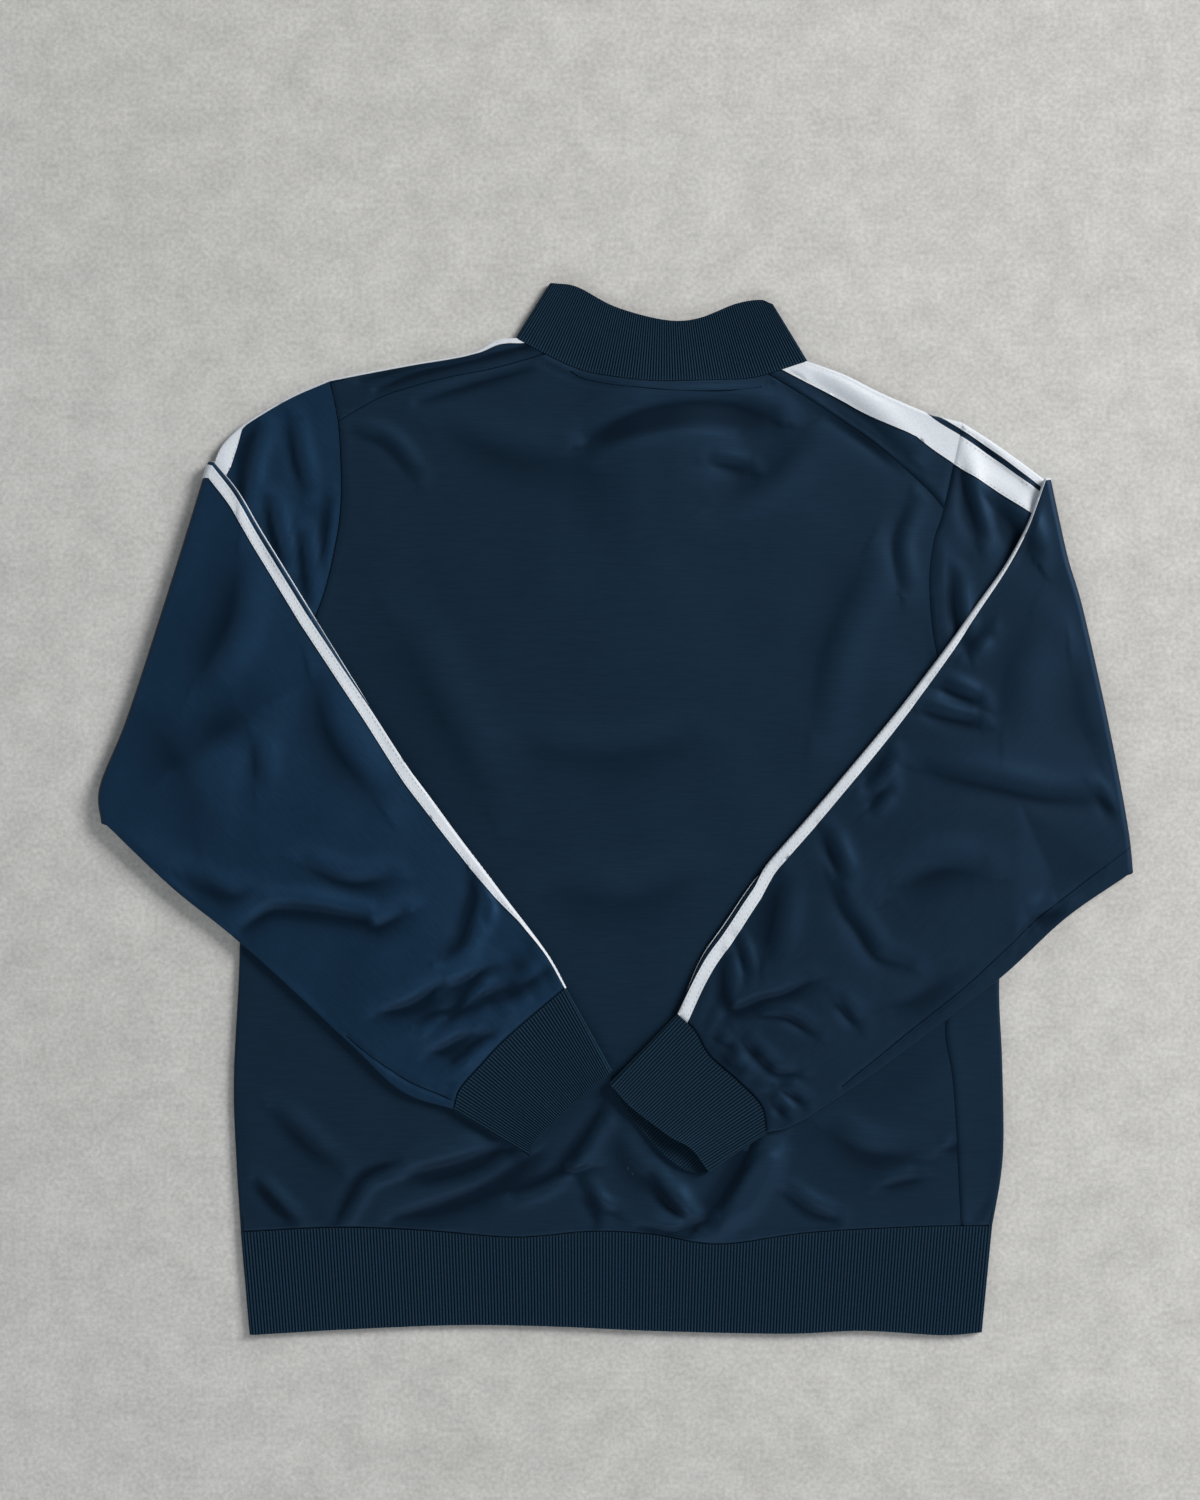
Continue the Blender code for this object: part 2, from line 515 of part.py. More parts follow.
def body_panels(m):
    """The back, the two fronts and the two yokes, as cloths."""
    a = m["across"]
    steps = 4
    armpit_l, armpit_r = m["arm_left"][-1], m["arm_right"][-1]
    columns = len(m["yoke_left"]) + len(m["neck_back"]) + len(m["yoke_right"]) - 2
    s = np.linspace(0, 1, columns)[:, None]
    back, out = Cloth(), {}
    top = np.vstack([m["yoke_left"], m["neck_back"][1:], m["yoke_right"][1:]])
    pit = (1 - s) * armpit_l + s * armpit_r
    laid(back, fill(pit, top, m["arm_left"][a:][::-1], m["arm_right"][a:][::-1]), 1)
    hem_c = curve(HEM_SEAM)
    left_low, right_low = m["side_left"][::-1], np.vstack([m["seam_right"][::-1], armpit_r])
    t0, t1 = nearest(hem_c, left_low[0]), nearest(hem_c, right_low[0])
    hem_top = pinned(hem_c(np.linspace(t0, t1, columns)), left_low[0], right_low[0])
    laid(back, fill(hem_top, pit, left_low, right_low), 1)
    line = m["side_left"][1:]
    rows = side_fold(back, line, outwards(line, (0, -100)), 1, steps)
    wrap = [rows[-1]]
    reach = 3 * m["fine"]
    for k in range(1, reach + 1):
        f = k / reach
        wrap.append([laid_point(back, x, y, -1) for x, y in (1 - f) * line + f * m["seam_left"]])
    weld_grid(back, wrap)
    out["back"] = back
    out["hem_back"] = hem_top
    for name, seam, sign in (("left", m["seam_left"], -1), ("right", None, 1)):
        front = Cloth()
        neck = m["front_left"][::-1] if name == "left" else m["front_right"]
        yoke = m["low_yoke_left"][::-1] if name == "left" else m["low_yoke_right"]
        neck = neck.copy()
        neck[0] = (zip_x(neck[0][1]) + sign * ZIP_GAP, neck[0][1])
        top = np.vstack([neck, yoke[1:]])
        cols = len(top)
        s = np.linspace(0, 1, cols)[:, None]
        arm = m["arm_" + name][a:]
        y_pit = arm[-1][1]
        inner = np.array([zip_x(y_pit) + sign * ZIP_GAP, y_pit])
        pit_f = (1 - s) * inner + s * arm[-1]
        rows_up = np.linspace(y_pit, neck[0][1], len(arm))
        zip_up = np.column_stack([zip_x(rows_up) + sign * ZIP_GAP, rows_up])
        laid(front, fill(pit_f, top, zip_up, arm[::-1]), -1)
        outer = np.vstack([seam[::-1], arm[-1]]) if seam is not None else m["side_right"][::-1]
        y_hem = hem_c(nearest(hem_c, (2.5, -297)))[1]
        zl = (outer[:, 1] - outer[0, 1]) / (outer[-1, 1] - outer[0, 1]) * (y_pit - y_hem) + y_hem
        zip_low = np.column_stack([zip_x(zl) + sign * ZIP_GAP, zl])
        ta, tb = nearest(hem_c, zip_low[0]), nearest(hem_c, outer[0])
        hem_low = pinned(hem_c(np.linspace(ta, tb, cols)), zip_low[0], outer[0])
        laid(front, fill(hem_low, pit_f, zip_low, outer), -1)
        out["hem_" + name] = hem_low
        if seam is None:
            line = m["side_right"][1:]
            rows = side_fold(front, line, outwards(line, (0, -100)), -1, steps)
            wrap = [rows[-1]]
            for k in range(1, reach + 1):
                f = k / reach
                wrap.append([laid_point(front, x, y, 1) for x, y in (1 - f) * line + f * m["seam_right"]])
            weld_grid(front, wrap)
        out["front_" + name] = front
        out["neck_" + name] = neck
    for name in ("left", "right"):
        yoke = Cloth()
        tip = m["tip_" + name]
        back_line = m["yoke_left"][::-1] if name == "left" else m["yoke_right"]
        low_line = m["low_yoke_left"][::-1] if name == "left" else m["low_yoke_right"]
        neck_b = m["neck_yoke_left"][::-1] if name == "left" else m["neck_yoke_right"]
        neck_f = m["front_yoke_left"][::-1] if name == "left" else m["front_yoke_right"]
        arm = m["arm_" + name][: a + 1][::-1]
        plan = fill(neck_b, arm, back_line, tip)
        low_plan = fill(neck_f, arm, low_line, tip)
        out_dir = np.array([unit(p[-1] - p[-2]) for p in plan])
        rows, total = [], len(tip)
        for i in range(total):
            row = []
            run = np.r_[0, np.cumsum(np.linalg.norm(np.diff(plan[i][::-1], axis=0), axis=1))][::-1]
            half = HALF - TAPE_ROOM / 2
            quarter = math.pi / 2 * half
            u = i / (total - 1)
            for j, (x, y) in enumerate(plan[i]):
                k = laid_point(yoke, x, y, 1)
                yoke.w[k], yoke.u[k] = -(quarter + run[j]), u
                row.append(k)
            for k in range(1, steps):
                ang = math.pi / 2 - math.pi * k / steps
                e = out_dir[i]
                d = np.array([e[0] * math.cos(ang), e[1] * math.cos(ang), math.sin(ang)])
                row.append(yoke.point(None, (tip[i][0] + half * d[0], tip[i][1] + half * d[1], TAPE_ROOM + half + half * d[2]), d, -half * ang, u))
            run = np.r_[0, np.cumsum(np.linalg.norm(np.diff(low_plan[i][::-1], axis=0), axis=1))]
            for j, (x, y) in enumerate(low_plan[i][::-1]):
                k = laid_point(yoke, x, y, -1, TAPE_ROOM)
                yoke.w[k], yoke.u[k] = quarter + run[j], u
                row.append(k)
            rows.append(row)
        weld_grid(yoke, rows)
        out["yoke_" + name] = yoke
    return out


def ring_of(cloth, pieces, half):
    """A flattened ring's points, from flat lines on either side and the folds that join them."""
    row = []
    for kind, line, extra in pieces:
        if kind == "flat":
            for x, y in line:
                z = (top_of(x, y) + 2 * (half - HALF)) if extra > 0 else lift(x, y)
                row.append(cloth.point(None, (x, y, z), (0, 0, extra)))
        else:
            start = -1 if kind == "rise" else 1
            for k in range(1, 4):
                a = start * (math.pi / 2 - math.pi * k / 4)
                d = np.array([extra[0] * math.cos(a), extra[1] * math.cos(a), math.sin(a)])
                row.append(cloth.point(None, (line[0] + half * d[0], line[1] + half * d[1], half + half * d[2]), d))
    return row


def hem_band(m, panels):
    """The rib band: a flattened ring, open at the zip, hanging from the panels' lower edges."""
    cloth, rows, half = Cloth(), [], 2.4
    wrap_r = [(1 - f) * m["side_right"][-1] + f * m["seam_right"][-1] for f in np.linspace(0, 1, 3 * m["fine"] + 1)]
    wrap_l = [(1 - f) * m["side_left"][-1] + f * m["seam_left"][-1] for f in np.linspace(0, 1, 3 * m["fine"] + 1)]
    top = np.vstack([wrap_r, panels["hem_back"][::-1][1:]])
    low_l = np.vstack([wrap_l, panels["hem_left"][::-1][1:]])
    low_r = panels["hem_right"]
    edge = curve(ends_in(HEM_EDGE, half, half))
    x0, x1 = m["side_left"][-1][0], m["side_right"][-1][0]
    for t in np.linspace(0, 1, 4):
        def down(line, sign=0):
            end = edge((line[:, 0] - x0) / (x1 - x0))
            out = (1 - t) * line + t * end
            if sign:
                k = 0 if sign > 0 else -1
                out[k, 0] = zip_x(out[k, 1]) + sign * ZIP_GAP
            return out
        b, r, l = down(top), down(low_r, 1), down(low_l, -1)
        rows.append(ring_of(cloth, [("flat", r, -1), ("rise", b[0], (1, 0)), ("flat", b, 1), ("drop", l[0], (-1, 0)), ("flat", l, -1)], half))
    weld_grid(cloth, rows)
    return cloth


def collar(m, panels):
    """The rib collar: a flattened ring, open at the zip, standing on the neck seam."""
    cloth, rows, half = Cloth(), [], 2.5
    back = np.vstack([m["neck_yoke_left"], m["neck_back"][1:], m["neck_yoke_right"][1:]])[::-1]
    right = np.vstack([panels["neck_right"], m["front_yoke_right"][1:]])
    left = np.vstack([m["front_yoke_left"], panels["neck_left"][::-1][1:]])
    top_b, top_f = curve(ends_in(COLLAR_BACK, half, half)), curve(ends_in(COLLAR_FRONT, half, half))
    centre = nearest(top_f, (zip_x(268), 268))

    def share(line):
        run = np.r_[0, np.cumsum(np.linalg.norm(np.diff(line, axis=0), axis=1))]
        return run / run[-1]

    ends = {"back": top_b(1 - share(back)), "right": top_f(centre + (1 - centre) * share(right)), "left": top_f(centre * share(left))}
    ends["right"][-1], ends["left"][0] = ends["back"][0], ends["back"][-1]
    for t in np.linspace(0, 1, 5):
        b, r, l = (1 - t) * back + t * ends["back"], (1 - t) * right + t * ends["right"], (1 - t) * left + t * ends["left"]
        r[0, 0], l[-1, 0] = zip_x(r[0, 1]) + ZIP_GAP, zip_x(l[-1, 1]) - ZIP_GAP
        e_r, e_l = unit(b[0] - b[1]), unit(b[-1] - b[-2])
        rows.append(ring_of(cloth, [("flat", r, -1), ("rise", b[0], e_r), ("flat", b[1:-1], 1), ("drop", b[-1], e_l), ("flat", l, -1)], half))
    weld_grid(cloth, rows)
    return cloth


def cuff(stations_end, seam, end, grow, base):
    """A rib cuff: a short tube from the sleeve's end to its open mouth."""
    a, b = seam, curve(ends_in(end, 2.2, 2.2))(np.linspace(0, 1, len(seam)))
    stations = []
    for t in np.linspace(0, 1, 4):
        half = 2.3 + grow * t ** 1.5
        stations.append(((1 - t) * a + t * b, base + half + 0 * a[:, 0], half, np.array([0, 0, -1.0]), t))
    return tube(stations, 4)


def ring_cloth(cloth):
    rows = [list(r) + [r[0]] for r in cloth.index]
    weld_grid(cloth, rows)
    return cloth


def stripe(name, cloth, track, bias, low, high):
    """A tape on a tube: the tube's own points between two distances round it, moved out."""
    near = Cloth()
    near.p, near.n = cloth.p, cloth.n
    near.faces = [f for f in cloth.faces if all(abs(cloth.w[i]) < 95 for i in f)]
    values = [(w - table(track, u)) / table(bias, u) for w, u in zip(cloth.w, cloth.u)]
    part = band_between(near, values, low, high)
    return shell(name, part, TAPE_WALL, TAPE_LIFT + TAPE_WALL, trim=0.05)


def prism(name, parts):
    """One solid swept through sections that share a polygon's corner count."""
    count, n = len(parts), len(parts[0])
    points = np.vstack(parts)
    faces = []
    for i in range(count - 1):
        for j in range(n):
            k = (j + 1) % n
            faces.append((i * n + j, i * n + k, (i + 1) * n + k, (i + 1) * n + j))
    faces.append(tuple(range(n))[::-1])
    faces.append(tuple((count - 1) * n + j for j in range(n)))
    obj = mesh_object(name, points, faces)
    outward(obj)
    return obj


def outward(obj):
    mesh = obj.data
    mesh.calc_loop_triangles()
    total = sum(np.dot(mesh.vertices[t.vertices[0]].co, np.cross(mesh.vertices[t.vertices[1]].co, mesh.vertices[t.vertices[2]].co)) for t in mesh.loop_triangles)
    if total < 0:
        mesh.flip_normals()
        mesh.update()


def zip_sides(y_rows):
    for name, sign in (("zip_side_left", -1), ("zip_side_right", 1)):
        section = [(0.15, 0.3), (2.6, 0.3), (2.6, 1.75), (12.0, 1.75), (12.0, 2.45), (0.15, 2.45)]
        parts = []
        for y in y_rows:
            x0, up = zip_x(y), lift(zip_x(y), y)
            parts.append(np.array([(x0 + sign * a, y, b + up) for a, b in section]))
        prism(name, parts)


# The slider's own frame: its middle on the zip, the zip's direction, and widths in mm.
SLIDER_Y = 257.0
HINGE_BACK = 1.9     # the hinge lies this far towards the hem from the slider's middle
HINGE_Z = 1.60


def zip_frame(local):
    """Points given as (across, along, up) from the slider's middle."""
    d = unit([0.0491, 1.0])
    out = []
    for a, b, c in local:
        out.append((zip_x(SLIDER_Y) + a * d[1] + b * d[0], SLIDER_Y - a * d[0] + b * d[1], c))
    return np.array(out)


def frame_solid(name, corners_rows):
    return prism(name, [zip_frame(rows) for rows in corners_rows])


def slider():
    """Two plates joined by a post beyond the chain's end, with the bridge for the pull tab.

    The profile lies in the slider's own upright plane and is swept across in three widths,
    so the plates are wide and the post and the bridge narrow.
    """
    up = SLIDER_LIFT
    low, high = up - 0.95, up - 0.15
    top0, top1 = up + 2.65, up + 3.5
    plate_w, post_w, bridge_w = 4.6, 1.3, 0.9
    y0, y1 = -6.0, 6.0
    leg = 0.9
    boxes = [
        ((-plate_w, plate_w), (y0, y1), (low, high)),
        ((-plate_w, plate_w), (y0, y1), (top0, top1)),
        ((-post_w, post_w), (3.6, y1), (high, top0)),
        ((-bridge_w, bridge_w), (-3.9, -3.9 + leg), (1.0, low)),
        ((-bridge_w, bridge_w), (3.0, 3.0 + leg), (1.0, low)),
        ((-bridge_w, bridge_w), (-3.9, 3.9), (0.25, 1.0)),
    ]
    obj = union_of_boxes("zip_slider", boxes)
    softened(obj, 0.15)
    return obj


def pull():
    """The pull tab: a bar through the bridge, two arms round it and a flat grip."""
    z0, z1 = HINGE_Z - 0.45, HINGE_Z + 0.45
    h = -HINGE_BACK
    boxes = [
        ((-3.0, -1.25), (h - 7.0, h + 0.3), (z0, z1)),
        ((1.25, 3.0), (h - 7.0, h + 0.3), (z0, z1)),
        ((-1.25, 1.25), (h - 0.3, h + 0.3), (HINGE_Z - 0.35, HINGE_Z + 0.35)),
        ((-3.0, 3.0), (h - 23.0, h - 7.0), (z0, z1)),
    ]
    obj = union_of_boxes("zip_pull", boxes)
    softened(obj, 0.15)
    return obj


def union_of_boxes(name, boxes):
    """The boxes' union, as the outside faces of the grid that their sides make."""
    cuts = [sorted({v for box in boxes for v in box[k]}) for k in range(3)]
    mids = [[(a + b) / 2 for a, b in zip(c, c[1:])] for c in cuts]
    full = set()
    for i, x in enumerate(mids[0]):
        for j, y in enumerate(mids[1]):
            for k, z in enumerate(mids[2]):
                if any(b[0][0] < x < b[0][1] and b[1][0] < y < b[1][1] and b[2][0] < z < b[2][1] for b in boxes):
                    full.add((i, j, k))
    points, faces, index = [], [], {}

    def corner(c):
        if c not in index:
            index[c] = len(points)
            points.append((cuts[0][c[0]], cuts[1][c[1]], cuts[2][c[2]]))
        return index[c]

    for cell in full:
        for axis in range(3):
            for step in (0, 1):
                other = list(cell)
                other[axis] += 2 * step - 1
                if tuple(other) in full:
                    continue
                u, v = (axis + 1) % 3, (axis + 2) % 3
                loop = []
                for du, dv in ((0, 0), (1, 0), (1, 1), (0, 1)):
                    c = list(cell)
                    c[axis] += step
                    c[u] += du
                    c[v] += dv
                    loop.append(corner(tuple(c)))
                faces.append(tuple(loop if step else loop[::-1]))
    obj = mesh_object(name, zip_frame(points), faces)
    outward(obj)
    return obj


def build():
    for obj in list(bpy.data.objects):
        bpy.data.objects.remove(obj)
    m = measure(1)
    panels = body_panels(m)
    for name in ("back", "front_left", "front_right", "yoke_left", "yoke_right"):
        shell(name, panels[name], WALL)
    shell("hem_band", hem_band(m, panels), RIB)
    shell("collar", collar(m, panels), RIB)
    for side, over, under, fold_line, inner, outer, seam, end, grow, track, track_yoke, bias, bias_yoke in (
        ("left", OVER_LEFT, UNDER_LEFT, FOLD_LEFT, INNER_LEFT, OUTER_LEFT, CUFF_SEAM_LEFT, CUFF_END_LEFT, 0.7, TRACK_LEFT, TRACK_YOKE_LEFT, BIAS_LEFT, BIAS_YOKE_LEFT),
        ("right", OVER_RIGHT, UNDER_RIGHT, FOLD_RIGHT, INNER_RIGHT, OUTER_RIGHT, CUFF_SEAM_RIGHT, CUFF_END_RIGHT, 1.25, TRACK_RIGHT, TRACK_YOKE_RIGHT, BIAS_RIGHT, BIAS_YOKE_RIGHT),
    ):
        seam_c = curve(ends_in(seam, TURN_HALF, TURN_HALF))
        stations = sleeve_stations(m["arm_" + side], over, under, fold_line, inner, outer, seam_c, (3, 6, 11))
        cloth = ring_cloth(tube(stations, 4))
        shell("sleeve_" + side, cloth, WALL)
        shell("cuff_" + side, ring_cloth(cuff(stations, stations[-1][0], end, grow, 2 * HALF + 0.9 - 0.1)), RIB)
        yoke = panels["yoke_" + side]
        for which, low, high in (("wide", -LINE / 2 - WIDE, -LINE / 2), ("narrow", LINE / 2, LINE / 2 + NARROW)):
            stripe("stripe_%s_%s" % (which, side), cloth, track, bias, low, high)
            stripe("stripe_%s_yoke_%s" % (which, side), yoke, track_yoke, bias_yoke, low, high)
    y_front = sorted({round(float(k[1]), 3) for n in ("front_left", "front_right") for k in [(panels[n].p[i][0], panels[n].p[i][1]) for i in range(len(panels[n].p))] if abs(k[0] - zip_x(k[1])) < ZIP_GAP + 0.05})
    rows = sorted(set([-362.0, -340.0, -318.0] + y_front + [222.0, 236.0, 250.0, 260.4]))
    zip_sides([y for y in rows if y < 260.5])
    slider()
    tab = pull()
    jacket = bpy.data.objects.new("jacket", None)
    bpy.context.scene.collection.objects.link(jacket)
    for obj in [o for o in bpy.data.objects if o.type == "MESH" and o is not tab]:
        obj.parent = jacket
    hang_from(tab, zip_frame([(0, -HINGE_BACK, HINGE_Z)])[0], jacket)


build()
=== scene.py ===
"""Looks of the track jacket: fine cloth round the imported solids, laid face down, sleeves folded over."""
import math

import bpy
import numpy as np
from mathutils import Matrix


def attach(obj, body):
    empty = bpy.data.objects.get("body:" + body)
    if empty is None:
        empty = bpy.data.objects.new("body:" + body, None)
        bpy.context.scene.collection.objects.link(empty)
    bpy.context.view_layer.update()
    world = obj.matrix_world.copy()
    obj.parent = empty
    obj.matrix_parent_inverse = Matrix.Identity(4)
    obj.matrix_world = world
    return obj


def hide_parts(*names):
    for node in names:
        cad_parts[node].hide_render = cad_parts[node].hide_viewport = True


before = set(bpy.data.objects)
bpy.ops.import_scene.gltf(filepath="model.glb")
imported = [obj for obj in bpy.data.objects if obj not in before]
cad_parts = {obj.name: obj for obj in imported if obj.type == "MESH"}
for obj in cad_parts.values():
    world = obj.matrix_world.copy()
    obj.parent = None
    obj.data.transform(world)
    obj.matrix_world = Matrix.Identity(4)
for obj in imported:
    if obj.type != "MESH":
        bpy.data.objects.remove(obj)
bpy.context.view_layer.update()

# Lengths are millimetres until mesh_object() scales them and moves them to the row's origin.
ORIGIN = (2.83, -0.60)
HALF = 2.2          # half the height of the flattened body tube
TURN_HALF = 1.8     # half the height of the sleeve tube
TURN_R = 2.8        # radius of the sleeve's centre line round its fold
TAPE_ROOM = 0.7     # yokes and sleeves lie this far off the floor
CLOTH = 0.8         # jersey shell
RIB = 1.1           # rib shell
ZIP_GAP = 2.9       # from the zip's middle to each front's edge
SLIDER_LIFT = 3.2   # the fronts rise this far over the slider
ARMPIT_CUT = 5.0    # the side fold starts this far below the armhole
SEAM_GAP = 0.2      # each piece's edge is drawn in by this
ROUND = 80          # points across one layer of a sleeve
BEND = 10           # steps round a half-round edge
TURN_FROM, TURN_TO = 0.22, 0.26     # shares of the sleeve's length between which it folds over
FAR = 95            # no stripe lies further than this round a tube from its fold
OPPOSITE = 900.0    # stands for the distance of the points on a tube's far edge
RIB_DEPTH = 0.42    # half the depth between two ribs
CUFF_BASE = 2 * HALF + 0.8          # height of a cuff's middle over the floor

# Outlines shared by both sides, columns (x, y), from left to right.
HEM_SEAM = [(-260, -296), (-193, -293), (-134, -295), (-69, -300), (-15, -296), (27, -298), (74, -305),
    (137, -297), (211, -293), (265, -292)]
HEM_EDGE = [(-254, -368), (-185, -364), (-108, -361), (-41, -362), (27, -365), (119, -367), (174, -365),
    (229, -368), (258, -366)]
NECK_BACK = [(-68, 328), (-47, 317), (-25, 307), (-5, 302), (26, 298), (51, 298), (76, 299), (94, 300),
    (108, 303), (136, 312)]
NECK_FRONT = [(-68, 328), (-62, 292), (-42, 252), (-8, 220), (28, 209), (64, 216), (100, 242), (124, 276),
    (136, 312)]
COLLAR_BACK = [(-44, 367), (-25, 364), (2, 350), (36, 341), (59, 342), (85, 352), (102, 355), (112, 352)]
COLLAR_FRONT = [(-44, 367), (-30, 322), (-6, 286), (31, 268), (66, 281), (96, 314), (112, 352)]

# The two sides' outlines, columns (x, y), from the collar's end down or from the sleeve's top to its cuff.
OUTLINES = {
    "left": {
        # Body's folded side and its side seam.
        "side": [(-261, 44), (-262, -29), (-261, -103), (-265, -190), (-263, -250), (-260, -296)],
        "seam": [(-257, 42), (-243, -60), (-231, -130), (-230, -190), (-229, -250), (-228, -294)],
        # Armhole, yoke seam and shoulder, each from the collar's side down or across.
        "arm": [(-198, 299), (-192, 270), (-190, 238), (-190, 215), (-193, 189), (-204, 144), (-228, 94),
            (-261, 44)],
        "yoke": [(-191, 270), (-163, 286), (-140, 294), (-113, 301), (-83, 307), (-47, 317)],
        "shoulder": [(-68, 328), (-83, 326), (-101, 317), (-140, 310), (-167, 305), (-198, 299)],
        # Upper arm to the fold: its upper and lower edges, and the fold itself.
        "over": [(-198, 299), (-226, 289), (-254, 275), (-267, 266), (-276, 257), (-281, 246)],
        "under": [(-261, 44), (-300, 20), (-354, -14)],
        "fold": [(-282, 243), (-306, 165), (-338, 66), (-358, 15), (-357, -13)],
        # Forearm from the fold to the cuff: its inner and outer edges, and the cuff's lines.
        "inner": [(-281, 243), (-264, 222), (-248, 195), (-222, 153), (-196, 111), (-169, 69), (-142, 27),
            (-112, -15), (-80, -57), (-48, -99), (-33, -125)],
        "outer": [(-356, -14), (-310, -57), (-261, -96), (-188, -162), (-149, -197), (-111, -210)],
        "cuff_seam": [(-33, -125), (-45, -135), (-75, -161), (-91, -178), (-106, -195), (-111, -210)],
        "cuff_end": [(-1, -183), (-19, -198), (-36, -213), (-54, -230), (-58, -242)],
        "cuff_low": [(-1, -183), (-20, -199), (-37, -214), (-55, -232), (-58, -242)],
        # Sleeve seam that shows, and the part of the sleeve that lies off the body.
        "underarm": [(-186, -158), (-168, -173), (-142, -190), (-112, -203)],
        "bare": [(-261, 44), (-300, 20), (-354, -14), (-310, -57), (-261, -96)],
        # How far round the tube the navy line lies from the shoulder fold, towards the front:
        # rows are (share of the length, distance).
        "track_yoke": [(0.0, 12.0), (0.25, 17.5), (1.0, 18.0)],
        "track": [(0.0, 18.0), (0.148, 17.0), (0.158, 9.0), (0.166, 3.0), (0.205, 2.8), (0.22, 1.6),
            (0.26, 1.8), (0.32, 3.1), (0.46, 3.0), (0.52, 1.4), (0.6, 0.2), (0.69, -0.2), (0.73, -1.5),
            (0.773, -2.4), (0.817, -3.2), (0.861, -4.4), (0.903, -7.6), (0.95, -8.7), (1.0, -9.0)],
        # How far the stripes' bias widens them round the tube, by the share of the length.
        "bias_yoke": [(0.0, 1.0), (1.0, 1.0)],
        "bias": [(0.0, 1.0), (0.15, 1.0), (0.166, 1.7), (0.2, 1.8), (0.215, 1.4), (0.26, 1.0), (1.0, 1.0)],
    },
    "right": {
        "side": [(278, 13), (274, -50), (270, -122), (272, -176), (273, -229), (271, -258), (265, -292)],
        "seam": [(274, 11), (258, -70), (236, -118), (232, -154), (237, -188), (240, -229), (243, -291)],
        "arm": [(244, 269), (231, 209), (224, 186), (221, 153), (227, 104), (247, 55), (278, 13)],
        "yoke": [(108, 303), (130, 290), (162, 269), (185, 253), (217, 225), (231, 209)],
        "shoulder": [(136, 312), (162, 302), (188, 289), (222, 275), (244, 269)],
        "over": [(244, 269), (261, 260), (275, 252), (288, 244), (302, 235)],
        "under": [(278, 13), (316, -16), (362, -46)],
        "fold": [(305, 231), (312, 198), (318, 172), (328, 138), (346, 57), (359, -12), (363, -47)],
        "inner": [(303, 234), (295, 212), (289, 198), (275, 173), (255, 145), (236, 118), (215, 90), (193, 62),
            (142, 1), (104, -43), (79, -79), (61, -106), (45, -143)],
        "outer": [(363, -48), (319, -78), (272, -120), (201, -173), (152, -206), (124, -222), (107, -226)],
        "cuff_seam": [(45, -143), (57, -155), (67, -172), (87, -190), (103, -207), (107, -226)],
        "cuff_end": [(-2, -192), (13, -208), (37, -226), (54, -236), (66, -252)],
        "cuff_low": [(-2, -194), (14, -218), (34, -240), (50, -252), (66, -256)],
        "underarm": [(360, -27), (330, -50), (295, -78), (250, -120), (201, -160), (159, -194)],
        "bare": [(278, 13), (316, -16), (362, -46), (319, -78), (272, -120)],
        "track_yoke": [(0.0, 0.0), (0.35, 1.5), (0.76, 1.0), (0.9, -4.0), (1.0, -7.5)],
        "track": [(0.0, -7.5), (0.1, -9.0), (0.2, -10.8), (0.23, -9.8), (0.26, -8.6), (0.3, -8.4),
            (0.366, -7.2), (0.42, -5.6), (0.476, -3.9), (0.534, -3.0), (0.593, -2.2), (0.65, -1.9), (0.8, -1.7),
            (0.83, 1.8), (0.9, 2.2), (0.94, 1.4), (1.0, -0.6)],
        "bias_yoke": [(0.0, 1.0), (0.7, 1.0), (1.0, 1.14)],
        "bias": [(0.0, 1.14), (0.1, 1.2), (0.2, 1.23), (0.26, 1.0), (1.0, 1.0)],
    },
}

NARROW = 9.0        # narrow stripe, on the front side of the navy line
WIDE = 18.0         # wide stripe, on its back side
LINE = 3.6          # navy line between them
TAPE_LIFT = 0.12    # gap between a tape and the cloth under it
TAPE_WALL = 0.5

